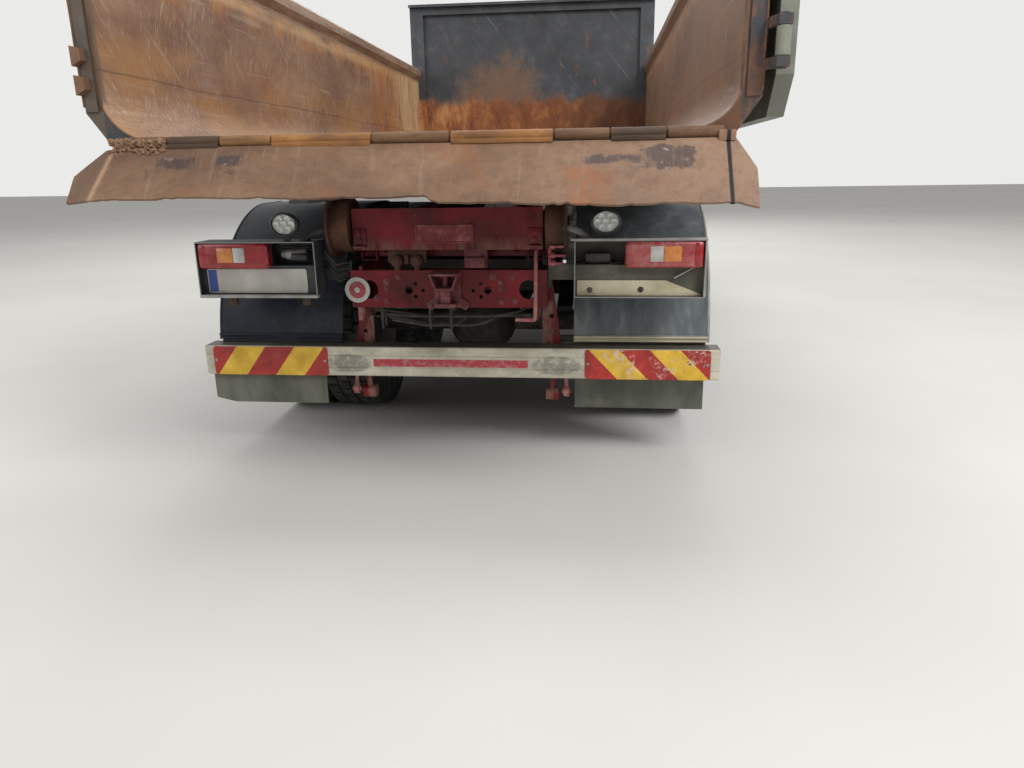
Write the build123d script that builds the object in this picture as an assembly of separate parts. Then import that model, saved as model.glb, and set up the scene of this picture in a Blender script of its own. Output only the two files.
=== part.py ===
from build123d import *
import math
import os

os.makedirs("parts", exist_ok=True)

# Hook lift truck with a steel gravel body. Millimetres, +Y forward, +X to the truck's right,
# +Z up, origin on the ground in the middle of the whole truck.

# Places along the truck, from the rear face of the underrun beam
BEAM_Y = -3288
BED_REAR_Y = BEAM_Y - 700
BED_FRONT_Y = BEAM_Y + 4860
CAB_BACK_Y = BEAM_Y + 5350
CAB_FRONT_Y = BEAM_Y + 7400
BUMPER_Y = BEAM_Y + 7500
FRONT_AXLE_Y = BEAM_Y + 6100
MID_AXLE_Y = BEAM_Y + 2390
REAR_AXLE_Y = BEAM_Y + 1020
CLEAR = 0.3
PIN_CLEAR = 0.1

# Wheels
TYRE_R = 530
TYRE_W = 300
RIM_R = 290
FRONT_WHEEL_X = 1030
TWIN_X = 897
TWIN_GAP_X = 335
SPINDLE_R = 48
STEER_ARM = 235
ARM_DROP = 162
ARM_IN = 60
HUB_R = 130
DISC_HOLES = 8
DISC_HOLE_R = 26
DISC_HOLE_CIRCLE_R = 225
DISC_T = 12
KINGPIN_X = 870
KINGPIN_R = 28

# Chassis
RAIL_X = 425
RAIL_TOP_Z = 1000
RAIL_H = 290
RAIL_FLANGE = 85
RAIL_T = 9
SUBFRAME_X = 440
SUBFRAME_W = 80
SUBFRAME_H = 140
CHEEK_T = 18
LEAF_W = 90
AXLE_TUBE_R = 62
AXLE_CASE_R = 205
SHAFT_R = 50
GEARBOX_REAR_Y = BEAM_Y + 4950
ENGINE_Y = (BEAM_Y + 5750, BEAM_Y + 6900)
ENGINE_Z = (560, 1400)
TANK_Y = (BEAM_Y + 3210, BEAM_Y + 4450)
TANK_X = (RAIL_X + CLEAR, 1130)
TANK_Z = (460, 990)
TANK_CORNER_R = 60
STRAP_T = 6
SIDE_GUARD_ZS = (430, 640, 850)
SIDE_GUARD_X = 1180

# Tipping pivot, which is also the axis of the rear guide rollers
PIVOT_Y = BEAM_Y + 10
PIVOT_Z = 1170
PIVOT_R = 35
ROLLER_R = 125

# Front tow jaw
TOW_Z = 542
TOW_Y = BUMPER_Y - 108
TOW_EAR = 24
TOW_PIN_R = 21

# Rear cross beam
COUPLING_Z = 885
BEAM_HOLE_R = 44
CROSS_BEAM_Z = (797, 970)
CROSS_BEAM_Y = BEAM_Y - 84
CROSS_BEAM_HALF = 460
# holes each side of the coupling: distance across, height over the coupling, radius
BEAM_HOLES = ((375, -4, BEAM_HOLE_R), (153, 23, 9), (153, -37, 9), (185, -8, 17), (118, -8, 9))
LEG_Y = BEAM_Y + 120 + CLEAR
LEG_IN_X = 425
LEG_OUT_X = 462

# Gravel body
BED_HALF = 1235
BED_WALL = 60
BED_SHEET = 10
BED_FLOOR_Z = 1540
BED_TOP_Z = 2420
BED_CORNER_R = 190
FRONT_WALL_TOP_Z = 3020
SKID_X = 530
SKID_W = 80
SKID_BOTTOM_Z = PIVOT_Z + ROLLER_R + CLEAR
BEARER_H = 90
TOP_RAIL_H = 120
TOP_RAIL_LIP = 28
POST_DEPTH = 110

# Hook arm
BAIL_Z = SKID_BOTTOM_Z + 1570
BAIL_R = 30
BAIL_Y = BED_FRONT_Y + 170
ARM_X = 85
TIP_X = 100
TIP_W = 55
TIP_Z = (1085, 1255)
TIP_FRONT_Y = BEAM_Y + 3300
ARM_Z = (1095, 1250)
MAST_Y = (BED_FRONT_Y + 40, BED_FRONT_Y + 205)
LIFT_X = 250
LIFT_R = 68
LIFT_ROD_R = 38
LIFT_BASE = (BEAM_Y + 1150, 1085)
LIFT_EYE = (BEAM_Y + 3180, 1170)
LIFT_PIN_R = 30

# Spill flap
FLAP_HINGE_Y = BED_REAR_Y - 32
FLAP_HINGE_Z = BED_FLOOR_Z - 12
FLAP_BARREL_R = 26
FLAP_DROP = 205
FLAP_REACH = 168
FLAP_HALF = 1150
FLAP_T = 12
FLAP_ROD_R = 11
BARREL_GAP = 4
# ends of the hinge barrels across the body: even ones are the floor's, odd ones the flap's
BARREL_EDGES = (-1108, -905, -752, -560, -155, 140, 520, 700, 905, 1085)

# Tail door
DOOR_T = 60
DOOR_HINGE_X = BED_HALF + 40
DOOR_HINGE_Y = BED_REAR_Y - DOOR_T - 14
DOOR_HINGE_ZS = (1760, 2220)
DOOR_HINGE_PIN_R = 14
DOOR_BOTTOM_Z = BED_FLOOR_Z + 40

# Rear underrun, lamps and guards
BEAM_HALF = 1262
BEAM_BOTTOM_Z = 436
BEAM_H = 150
GUARD_IN_X = 578
GUARD_OUT_X = 1222
GUARD_R = 715
GUARD_BOTTOM_Z = 603
GUARD_T = 8
GUARD_FLAT = 220
LAMP_BOX_IN_X = 585
LAMP_BOX_OUT_X = 1150
LAMP_BOX_Z = (862, 1113)
LAMP_BOX_Y = BEAM_Y - 195
LAMP_BOX_T = 5
NUMBER_PLATE_X = (-1110, -630)
MUDFLAP_LOW_Z = 252
MUDFLAP_Y = (BEAM_Y + 128, BEAM_Y + 136)

# Cab
CAB_HALF = 1150
CAB_FLOOR_Z = 1250
CAB_BOTTOM_Z = 1050
CAB_ROOF_Z = 3000
CAB_WALL = 50
CAB_HINGE_Y = BEAM_Y + 7320
CAB_HINGE_Z = 976
CAB_HINGE_R = 22
CAB_ARM_X = (480, 540)
DOOR_PIN_X = CAB_HALF + 15
DOOR_PIN_R = 9
DOOR_HINGES = (1480, 1840)
ARCH_R = 665
SCREEN_LOW_Z = 2020
SIDE_DOOR_Y = (BEAM_Y + 6290, BEAM_Y + 7200)
SIDE_DOOR_Z = (1240, 2800)
SIDE_DOOR_GAP = 6
SEAT_X = 730
CAB_EDGE_R = 70
SCREEN_SIDE = 110
REAR_WINDOW_HALF = 560
REAR_WINDOW_Z = (1950, 2450)
GRILLE_HALF = 620
GRILLE_Z = (1120, 1640)
HEADLAMP_X = (760, 1120)
HEADLAMP_Z = (560, 760)


def block(x, y, z):
    size = (x[1] - x[0], y[1] - y[0], z[1] - z[0])
    return Pos((x[0] + x[1]) / 2, (y[0] + y[1]) / 2, (z[0] + z[1]) / 2) * Box(*size)


def face_x(points, x=0):
    return Plane.YZ.offset(x) * Polygon(*points, align=None)


def prism_x(points, x0, x1, radius=0):
    face = face_x(points, x0)
    if radius:
        face = fillet(face.vertices(), radius)
    return extrude(face, x1 - x0, dir=(1, 0, 0))


def prism_y(points, y0, y1, radius=0):
    face = Plane.XZ.offset(-y1) * Polygon(*points, align=None)
    if radius:
        face = fillet(face.vertices(), radius)
    return extrude(face, y1 - y0, dir=(0, -1, 0))


def prism_z(points, z0, z1, radius=0):
    face = Plane.XY.offset(z0) * Polygon(*points, align=None)
    if radius:
        face = fillet(face.vertices(), radius)
    return extrude(face, z1 - z0, dir=(0, 0, 1))


def rod_x(y, z, radius, x0, x1):
    return Plane.YZ.offset(x0) * Pos(y, z) * extrude(Circle(radius), x1 - x0)


def rod_y(x, z, radius, y0, y1):
    return Plane.XZ.offset(-y1) * Pos(x, z) * extrude(Circle(radius), y1 - y0)


def rod_z(x, y, radius, z0, z1):
    return Plane.XY.offset(z0) * Pos(x, y) * extrude(Circle(radius), z1 - z0)


def rod(start, end, radius):
    start, end = Vector(*start), Vector(*end)
    plane = Plane(origin=start, z_dir=end - start)
    return plane * extrude(Circle(radius), (end - start).length)


def flip(shape):
    return mirror(shape, Plane.YZ)


def pair(shape):
    return [shape, flip(shape)]


def join(shapes):
    shapes = list(shapes)
    return shapes[0].fuse(*shapes[1:]) if len(shapes) > 1 else shapes[0]


def write(name, shapes):
    solids = [s for shape in shapes for s in shape.solids()]
    export_step(Compound(children=solids), "parts/" + name + ".step")


# Wheels and axles

def tyre(x, y):
    half, r = TYRE_W / 2, TYRE_R
    section = [(RIM_R + CLEAR, half - 38), (RIM_R + 60, half - 8), (RIM_R + 120, half), (r - 45, half - 8),
               (r - 10, half - 22), (r, half - 40)]
    section = section + [(radius, -w) for radius, w in reversed(section)]
    face = Plane.XY * Polygon(*[(w, radius) for radius, w in section], align=None)
    return Pos(x, y, TYRE_R) * revolve(face, Axis.X)


def wheel_disc(x, y, side, offset):
    # side is +1 or -1, offset the disc's distance from the tyre's middle
    half = TYRE_W / 2 - 40
    barrel = [(half, RIM_R), (half, RIM_R - 18), (60, RIM_R - 40), (-60, RIM_R - 40),
              (-half, RIM_R - 18), (-half, RIM_R)]
    well = [(-half + 22, RIM_R - 8), (half - 22, RIM_R - 8)]
    rim = revolve(Plane.XY * Polygon(*barrel, *well, align=None), Axis.X)
    cone = [(offset - DISC_T, HUB_R - 20), (offset, HUB_R - 20), (offset, 190), (offset * 0.5, RIM_R - 35),
            (offset * 0.5 - DISC_T - 2, RIM_R - 35), (offset - DISC_T, 180)]
    disc = revolve(Plane.XY * Polygon(*cone, align=None), Axis.X)
    for k in range(DISC_HOLES):
        angle = 2 * math.pi * k / DISC_HOLES
        y_hole, z_hole = DISC_HOLE_CIRCLE_R * math.cos(angle), DISC_HOLE_CIRCLE_R * math.sin(angle)
        disc -= rod_x(y_hole, z_hole, DISC_HOLE_R, -RIM_R, RIM_R)
    wheel = rim + disc
    if side < 0:
        wheel = flip(wheel)
    return Pos(x, y, TYRE_R) * wheel


def hub(x0, x1, y, bore_end):
    # from the brake side x0 to the outer cap x1, bored for the spindle as far as bore_end
    out = 1 if x1 > 0 else -1
    body = rod_x(y, TYRE_R, HUB_R, *sorted((x0, x1)))
    cap = rod_x(y, TYRE_R, HUB_R - 45, *sorted((x1, x1 + out * 25)))
    bore = rod_x(y, TYRE_R, SPINDLE_R + PIN_CLEAR, *sorted((x0 - out, bore_end)))
    return body + cap - bore


def front_wheel(side):
    x = side * FRONT_WHEEL_X
    disc = wheel_disc(x, FRONT_AXLE_Y, side, 95)
    body = hub(side * (KINGPIN_X + 100), x + side * 120, FRONT_AXLE_Y, x + side * 60)
    return join([disc, body])


def rear_wheel(side, y):
    outer, inner = side * (TWIN_X + TWIN_GAP_X / 2), side * (TWIN_X - TWIN_GAP_X / 2)
    discs = [wheel_disc(outer, y, -side, 155), wheel_disc(inner, y, side, 155)]
    body = hub(side * (TWIN_X - 120), side * (TWIN_X + 150), y, side * (TWIN_X + 60))
    return join(discs + [body])


def knuckle(side):
    y, z = FRONT_AXLE_Y, TYRE_R
    x = side * KINGPIN_X
    parts = []
    for low in (-120, 62):
        parts.append(rod_z(x, y, 55, z + low, z + low + 58))
        parts.append(block(sorted((x, x + side * 70)), (y - 55, y + 55), (z + low, z + low + 58)))
    parts.append(block(sorted((x + side * 66, x + side * 92)), (y - 70, y + 70), (z - 120, z + 120)))
    parts.append(rod_z(x, y, KINGPIN_R, z - 126, z + 126))
    parts.append(rod_x(y, z, SPINDLE_R, *sorted((x + side * 90, side * (FRONT_WHEEL_X + 50)))))
    # steering arm under the axle, reaching back and inwards to the tie rod
    parts.append(rod_z(x, y, 50, z - ARM_DROP, z - 119))
    inner = x - side * ARM_IN
    end_y = y - STEER_ARM - 20
    arm = [(x - side * 30, y), (x + side * 40, y), (inner + side * 24, end_y), (inner - side * 24, end_y)]
    parts.append(prism_z(arm, z - ARM_DROP, z - ARM_DROP + 26))
    return join(parts)


def front_axle():
    y, z = FRONT_AXLE_Y, TYRE_R
    beam = block((-KINGPIN_X + 60, KINGPIN_X - 60), (y - 55, y + 55), (z - 130, z - 20))
    parts = [beam]
    for side in (-1, 1):
        head = rod_z(side * KINGPIN_X, y, 62, z - 60, z + 60) + block(
            sorted((side * (KINGPIN_X - 110), side * (KINGPIN_X - 20))), (y - 50, y + 50), (z - 130, z + 60))
        parts.append(head - rod_z(side * KINGPIN_X, y, KINGPIN_R + PIN_CLEAR, z - 200, z + 200)
                     - rod_z(side * KINGPIN_X, y, 66, z - 131, z - 60))
        spring_x = sorted((side * RAIL_X, side * (RAIL_X + 80)))
        end_z = RAIL_TOP_Z - RAIL_H - 5
        leaf = prism_x([(y - 750, end_z), (y, z + 20), (y + 750, end_z), (y + 750, end_z - 26), (y, z - 40),
                        (y - 750, end_z - 26)], *spring_x)
        parts.append(leaf)
        for end in (-1, 1):
            hanger_y = sorted((y + end * 755, y + end * 690))
            parts.append(block(spring_x, hanger_y, (end_z - 30, RAIL_TOP_Z - 150)))
    end_x = KINGPIN_X - ARM_IN
    tie_z = z - ARM_DROP - 26
    tie = rod_x(y - STEER_ARM, tie_z, 18, -end_x - 22, end_x + 22)
    ends = [rod_z(side * end_x, y - STEER_ARM, 20, tie_z - 18, z - ARM_DROP - CLEAR) for side in (-1, 1)]
    tie = join([tie] + ends)
    return join(parts), tie


def rear_axle(y):
    z = TYRE_R
    tube = rod_x(y, z, AXLE_TUBE_R, -TWIN_X + 125, TWIN_X - 125)
    spindles = rod_x(y, z, SPINDLE_R, -TWIN_X - 50, TWIN_X + 50)
    case = Pos(0, y, z) * (Sphere(AXLE_CASE_R) & Box(420, 420, 400))
    nose = rod_y(0, z, 95, y + 120, y + 290)
    return join([tube, spindles, case, nose])


def rear_springs():
    # one leaf pack each side on a central saddle, its ends on the two axles
    middle = (MID_AXLE_Y + REAR_AXLE_Y) / 2
    low = TYRE_R + AXLE_TUBE_R
    crown = low + 140
    parts = []
    for side in (-1, 1):
        x = side * 500
        pack = [(REAR_AXLE_Y - 70, low), (REAR_AXLE_Y + 90, low), (middle, crown - 80), (MID_AXLE_Y - 90, low),
                (MID_AXLE_Y + 70, low), (MID_AXLE_Y + 70, low + 30), (middle, crown), (REAR_AXLE_Y - 70, low + 30)]
        leaf = prism_x(pack, x - LEAF_W / 2, x + LEAF_W / 2)
        web = sorted((side * RAIL_X, side * (RAIL_X + 30)))
        bottom, top = crown - 120, RAIL_TOP_Z - 30
        hanger = prism_x([(middle - 70, bottom), (middle + 70, bottom), (middle + 170, top), (middle - 170, top)], *web)
        trunnion = rod_x(middle, crown - 90, 50, *sorted((side * RAIL_X, side * 545)))
        parts.append(join([leaf, hanger, trunnion]))
    return parts


# Chassis frame

def chassis_rails():
    y0, y1 = BEAM_Y + 130, BUMPER_Y - 150
    low = RAIL_TOP_Z - RAIL_H
    outer = [(RAIL_X, low), (RAIL_X, RAIL_TOP_Z), (RAIL_X - RAIL_FLANGE, RAIL_TOP_Z),
             (RAIL_X - RAIL_FLANGE, RAIL_TOP_Z - RAIL_T), (RAIL_X - RAIL_T, RAIL_TOP_Z - RAIL_T),
             (RAIL_X - RAIL_T, low + RAIL_T), (RAIL_X - RAIL_FLANGE, low + RAIL_T), (RAIL_X - RAIL_FLANGE, low)]
    rail = prism_y(outer, y0, y1)
    parts = pair(rail)
    middle = (MID_AXLE_Y + REAR_AXLE_Y) / 2
    web = RAIL_X - RAIL_T
    for y in (REAR_AXLE_Y - 350, middle, MID_AXLE_Y + 700, BEAM_Y + 4300):
        bar = block((-web, web), (y - 50, y + 50), (low + 60, RAIL_TOP_Z - 60))
        bar -= block((-web, web), (y - 42, y + 51), (low + 68, RAIL_TOP_Z - 68))
        parts.append(bar)
    # pins the cab tilts on
    parts += pair(rod_x(CAB_HINGE_Y, CAB_HINGE_Z, CAB_HINGE_R, RAIL_X - 1, CAB_ARM_X[1] + 20))
    return join(parts)


def hook_subframe():
    # two box tubes on the chassis rails, the rear cross beam and the cheeks that carry the pivot shaft
    y0, y1 = BEAM_Y + 40, BED_FRONT_Y - 250
    x0, x1 = SUBFRAME_X - SUBFRAME_W, SUBFRAME_X
    z0, z1 = RAIL_TOP_Z, RAIL_TOP_Z + SUBFRAME_H
    tube = block((x0, x1), (y0, y1), (z0, z1)) - block((x0 + 8, x1 - 8), (y0 - 1, y1 + 1), (z0 + 8, z1 - 8))
    parts = pair(tube)
    parts.append(block((-x1, x1), (BEAM_Y - 72, BEAM_Y + 42), (z0 + 62, z0 + 72)))
    parts.append(block((-x1, x1), (BEAM_Y - 72, BEAM_Y - 60), (z0 + 62, PIVOT_Z + 80)))
    parts.append(block((-x1, x1), (BEAM_Y + 62, BEAM_Y + 74), (z0 + 20, z0 + 72)))
    for x in (x1 - CHEEK_T, 300, 190):
        cheek = prism_x([(BEAM_Y - 61, z0 + 62), (BEAM_Y + 200, z0 + 8), (BEAM_Y + 200, z0 + SUBFRAME_H),
                         (PIVOT_Y + 60, PIVOT_Z + 60), (BEAM_Y - 61, PIVOT_Z + 60)], x, x + CHEEK_T)
        cheek -= rod_x(PIVOT_Y, PIVOT_Z, PIVOT_R + PIN_CLEAR, x - 1, x + CHEEK_T + 1)
        parts += pair(cheek)
    for y in (BEAM_Y + 700, BEAM_Y + 3500, y1 - 60):
        parts.append(block((-x0, x0), (y - 40, y + 40), (z0 + 5, z0 + 75)))
    # pins that the lift cylinders swing on
    parts += pair(rod_x(*LIFT_BASE, LIFT_PIN_R, LIFT_X - 52, x0 + 1))
    return join(parts)


def guide_rollers():
    # the pivot shaft and the two rollers that the body's skids run on
    shaft = rod_x(PIVOT_Y, PIVOT_Z, PIVOT_R, -SKID_X - 30, SKID_X + 30)
    roller = rod_x(PIVOT_Y, PIVOT_Z, ROLLER_R, SKID_X - SKID_W + 2, SKID_X + 12)
    flange = rod_x(PIVOT_Y, PIVOT_Z, ROLLER_R + 28, SKID_X + 6, SKID_X + 18)
    return join([shaft] + pair(roller) + pair(flange))


def coupling_beam():
    # lower cross beam with its legs down to the underrun beam
    z0, z1 = CROSS_BEAM_Z
    rear, half = CROSS_BEAM_Y, CROSS_BEAM_HALF
    web = block((-half, half), (rear, rear + 14), (z0, z1))
    flanges = [block((-half, half), (rear, rear + 90), (z, z + 12)) for z in (z0, z1 - 12)]
    for side in (-1, 1):
        for x, dz, radius in BEAM_HOLES:
            web -= rod_y(side * x, COUPLING_Z + dz, radius, rear - 1, rear + 15)
    parts = [web] + flanges
    # inner plates back to the chassis rails
    plate = block((RAIL_X - RAIL_T - 14, RAIL_X - RAIL_T), (rear, BEAM_Y + 330), (z0 - 60, z1 + 20))
    parts += pair(plate)
    foot_z = BEAM_BOTTOM_Z + 10
    front = prism_y([(LEG_IN_X, z1), (LEG_OUT_X, z1), (535, foot_z), (LEG_IN_X, foot_z)], LEG_Y, BEAM_Y + 131)
    for z in (560, 640, 720):
        front -= rod_y(470, z, 11, BEAM_Y + 100, BEAM_Y + 200)
    side = block((LEG_IN_X, LEG_OUT_X), (BEAM_Y - 5, BEAM_Y + 131), (z0 + 20, z1))
    parts += pair(front) + pair(side)
    # two rods with links under the legs
    hook = rod((480, BEAM_Y + 143, BEAM_BOTTOM_Z + 60), (472, BEAM_Y + 150, 330), 14)
    link = rod_x(BEAM_Y + 152, 318, 32, 440, 505)
    parts += pair(hook) + pair(link)
    return join(parts)


def tow_coupling():
    # drawbar coupling bolted to the cross beam: a funnel over a pin block on a flared base
    rear = CROSS_BEAM_Y
    z = COUPLING_Z
    base = prism_y([(-62, z + 60), (62, z + 60), (62, z - 40), (96, z - 62), (96, z - 86), (-96, z - 86),
                    (-96, z - 62), (-62, z - 40)], rear - 16, rear)
    funnel = prism_y([(-68, z + 82), (68, z + 82), (42, z + 8), (-42, z + 8)], rear - 110, rear - 15)
    funnel -= prism_y([(-57, z + 72), (57, z + 72), (35, z + 17), (-35, z + 17)], rear - 111, rear - 20)
    block_under = block((-21, 21), (rear - 74, rear - 15), (z - 60, z + 9))
    foot = block((-48, 48), (rear - 90, rear - 15), (z - 74, z - 58))
    pin = rod_z(0, rear - 54, 16, z + 1, z + 78)
    return join([base, funnel, block_under, foot, pin])


def underrun_beam():
    z0, z1 = BEAM_BOTTOM_Z, BEAM_BOTTOM_Z + BEAM_H
    y0, y1 = BEAM_Y, BEAM_Y + 120
    outer = face_x([(y0, z0), (y1, z0), (y1, z1), (y0, z1)], -BEAM_HALF)
    outer = fillet(outer.vertices(), 10)
    beam = extrude(outer, 2 * BEAM_HALF)
    beam -= block((-BEAM_HALF - 1, BEAM_HALF + 1), (y0 + 6, y1 - 6), (z0 + 6, z1 - 6))
    for z in (z0 + 42, z1 - 48):
        beam -= block((-BEAM_HALF - 1, BEAM_HALF + 1), (y0 - 1, y0 + 3), (z, z + 6))
    caps = pair(block((BEAM_HALF, BEAM_HALF + 5), (y0 + 2, y1), (z0 + 2, z1 - 2)))
    return join([beam] + caps)


def rear_plates():
    middle_z = BEAM_BOTTOM_Z + BEAM_H / 2
    face = Plane.XZ.offset(-BEAM_Y) * Pos(BEAM_HALF - 300, middle_z) * Rectangle(590, 142)
    marker = extrude(fillet(face.vertices(), 12), 3)
    front_y = LAMP_BOX_Y + 40 - CLEAR
    number = block(NUMBER_PLATE_X, (front_y - 3, front_y), (LAMP_BOX_Z[0] + 15, LAMP_BOX_Z[0] + 125))
    return pair(marker) + [number]


def lamp_brackets():
    # open sheet boxes behind the rear guards: roof, floor, cheeks, and an arm back to the frame
    x0, x1 = LAMP_BOX_IN_X, LAMP_BOX_OUT_X
    z0, z1 = LAMP_BOX_Z
    y0, y1 = LAMP_BOX_Y, LAMP_BOX_Y + 150
    t = LAMP_BOX_T
    roof = block((x0, x1), (y0, y1), (z1 - t, z1))
    floor = block((x0, x1), (y0, y1), (z0, z0 + t))
    cheeks = [block((x, x + t), (y0, y1), (z0, z1)) for x in (x0, x1 - t)]
    back = block((x0, x1), (y1 - t, y1), (z0, z1))
    arm = block((LEG_OUT_X + CLEAR, x0 + 40), (y1 - t, y1 + 45), (z0 + 60, z0 + 130))
    post = block((LEG_OUT_X + CLEAR, LEG_OUT_X + 8), (y1 - t, BEAM_Y + 100), (z0 + 20, z0 + 150))
    shelf = block((x0, x1), (y0 + 40, y1), (z0 + 134, z0 + 140))
    panel = block((x0 + 1, x1 - 1), (y0 + 40, y0 + 44), (z0 + 1, z0 + 136))
    return pair(join([roof, floor, back, arm, post, shelf, panel] + cheeks))


def tail_lamps():
    z1 = LAMP_BOX_Z[1] - LAMP_BOX_T
    z0 = LAMP_BOX_Z[0] + 141
    body = block((805, 1140), (LAMP_BOX_Y - 8, LAMP_BOX_Y + 70), (z0, z1))
    body = fillet(body.edges().group_by(Axis.Y)[0], 12)
    return pair(body)


def work_lamps():
    parts = []
    z = LAMP_BOX_Z[1] + 75
    for side in (-1, 1):
        x = side * 725
        plane = Plane.XZ.offset(-(BEAM_Y - 130))
        housing = plane * Pos(x, z) * extrude(Ellipse(68, 52), 60)
        foot = block((x - 14, x + 14), (BEAM_Y - 150, BEAM_Y - 135), (LAMP_BOX_Z[1], z - 30))
        parts.append(join([housing, foot]))
    return parts


def guard_hoop(y, radius, rear_z, front_z, flat=0):
    # a hoop over a wheel, cut off at the given heights behind and in front, with a lip on its outer edge;
    # its top runs level for the length flat, so that its rear quarter stands that far behind the wheel
    z = TYRE_R
    x0, x1 = GUARD_IN_X, GUARD_OUT_X
    top = z + radius
    parts = []
    for middle, low, ends in ((y - flat, rear_z, (y - flat - radius - 1, y - flat)), (y, front_z, (y, y + radius + 1))):
        hoop = rod_x(middle, z, radius, x0, x1) - rod_x(middle, z, radius - GUARD_T, x0 - 1, x1 + 1)
        hoop += rod_x(middle, z, radius, x1 - 6, x1) - rod_x(middle, z, radius - 40, x1 - 7, x1 + 1)
        parts.append(hoop & block((0, x1 + 1), ends, (low, top + 1)))
    if flat:
        parts.append(block((x0, x1), (y - flat, y), (top - GUARD_T, top)))
        parts.append(block((x1 - 6, x1), (y - flat, y), (top - 40, top)))
    # stay from the subframe to the crown of the hoop
    crown = top - GUARD_T
    parts.append(block((SUBFRAME_X + CLEAR, SUBFRAME_X + 12), (y - 35, y + 35), (RAIL_TOP_Z + 20, crown)))
    parts.append(rod_x(y, crown - 17, 18, SUBFRAME_X + 1, GUARD_OUT_X - 40))
    return join(parts)


def mudguards():
    mid_r = MID_AXLE_Y - REAR_AXLE_Y - GUARD_R - 6
    rear = guard_hoop(REAR_AXLE_Y, GUARD_R, GUARD_BOTTOM_Z, GUARD_BOTTOM_Z + 60, GUARD_FLAT)
    # ribbed lip along the rear guard's lower edge
    for low, high, out in ((0, 9, 12), (8, 19, 7), (18, 28, 12)):
        z0, z1 = GUARD_BOTTOM_Z + low, GUARD_BOTTOM_Z + high
        rear += block((GUARD_IN_X, GUARD_OUT_X), (BEAM_Y + 88 - out, BEAM_Y + 92), (z0, z1))
    return pair(rear) + pair(guard_hoop(MID_AXLE_Y, mid_r, GUARD_BOTTOM_Z + 60, GUARD_BOTTOM_Z))


def mudflaps():
    x0, x1 = GUARD_IN_X + 5, GUARD_OUT_X - 8
    low, top = MUDFLAP_LOW_Z, GUARD_BOTTOM_Z + 20
    flap = block((x0, x1), MUDFLAP_Y, (low, top))
    # the left one has lost its outer corner
    torn = [(-x0, low), (-x0, top), (-x1, top), (-x1, low + 28), (-x1 + 78, low + 26), (-x1 + 108, low + 8)]
    left = prism_y(torn, *MUDFLAP_Y)
    # hung on a bar from the frame
    y0, z0 = MUDFLAP_Y[1] + CLEAR, GUARD_BOTTOM_Z - 16
    bar = block((RAIL_X, GUARD_OUT_X - 25), (y0, y0 + 24), (z0, z0 + 32))
    post = block((RAIL_X, RAIL_X + 12), (y0, BEAM_Y + 260), (z0, RAIL_TOP_Z - 200))
    return [flap, left], pair(join([bar, post]))


def tank(y0, y1):
    # a round-edged box with two straps round it and a seat behind each on the frame
    x0, x1 = TANK_X
    z0, z1 = TANK_Z
    t = STRAP_T
    body = prism_y([(x0 + 30, z0), (x1, z0), (x1, z1), (x0 + 30, z1)], y0, y1, TANK_CORNER_R)
    wide = [(x0 + 30 - t, z0 - t), (x1 + t, z0 - t), (x1 + t, z1 + t), (x0 + 30 - t, z1 + t)]
    parts = [body]
    for y in (y0 + 150, y1 - 150):
        parts.append(prism_y(wide, y - 22, y + 22, TANK_CORNER_R + t))
        parts.append(block((x0, x0 + 60), (y - 30, y + 30), (z0 + 150, z1 - 40)))
    return join(parts)


def side_tanks():
    # long fuel tank on the left, a short one and the battery box on the right, oil tank behind the cab
    y0, y1 = TANK_Y
    x0 = TANK_X[0]
    z0, z1 = TANK_Z
    left = flip(tank(y0, y1))
    right = tank(y0 + 700, y1)
    battery = block((x0, 980), (y0 + 60, y0 + 640), (z0 + 60, z1 - 60))
    oil = block((-420, 420), (BED_FRONT_Y + 215, CAB_BACK_Y - 60), (RAIL_TOP_Z + CLEAR, RAIL_TOP_Z + 700))
    return [left, right, battery, oil]


def side_guards():
    y0, y1 = MID_AXLE_Y + 700, BEAM_Y + 5380
    x = SIDE_GUARD_X
    parts = []
    for z in SIDE_GUARD_ZS:
        parts.append(block((x, x + 25), (y0, y1), (z, z + 70)))
    for y in (y0 + 40, BEAM_Y + 4500, y1 - 120):
        parts.append(block((x - 12, x), (y, y + 50), (SIDE_GUARD_ZS[0], SIDE_GUARD_ZS[-1] + 70)))
        parts.append(block((RAIL_X, x - 10), (y, y + 50), (742, 782)))
    return pair(join(parts))


def engine_block():
    web = RAIL_X - RAIL_T - CLEAR
    engine = block((-330, 330), ENGINE_Y, ENGINE_Z)
    gearbox = block((-250, 250), (GEARBOX_REAR_Y, ENGINE_Y[0] + 1), (ENGINE_Z[0] + 40, RAIL_TOP_Z - 30))
    feet = pair(block((329, web), (ENGINE_Y[1] - 300, ENGINE_Y[1] - 140), (760, 800)))
    feet += pair(block((249, web), (GEARBOX_REAR_Y + 250, GEARBOX_REAR_Y + 350), (760, 800)))
    return [join([engine, gearbox] + feet)]


def prop_shafts():
    # one shaft between the two axles, and one from the mid axle up to the gearbox with its flange
    between = rod_y(0, TYRE_R, SHAFT_R, REAR_AXLE_Y + 290 + CLEAR, MID_AXLE_Y - AXLE_CASE_R - CLEAR)
    end_y, end_z = GEARBOX_REAR_Y, 720
    long_shaft = rod((0, MID_AXLE_Y + 305, TYRE_R), (0, end_y - 30, end_z), SHAFT_R)
    flange = rod_y(0, end_z, SHAFT_R + 10, end_y - 60, end_y - CLEAR)
    return [between, join([long_shaft, flange])]


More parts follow.
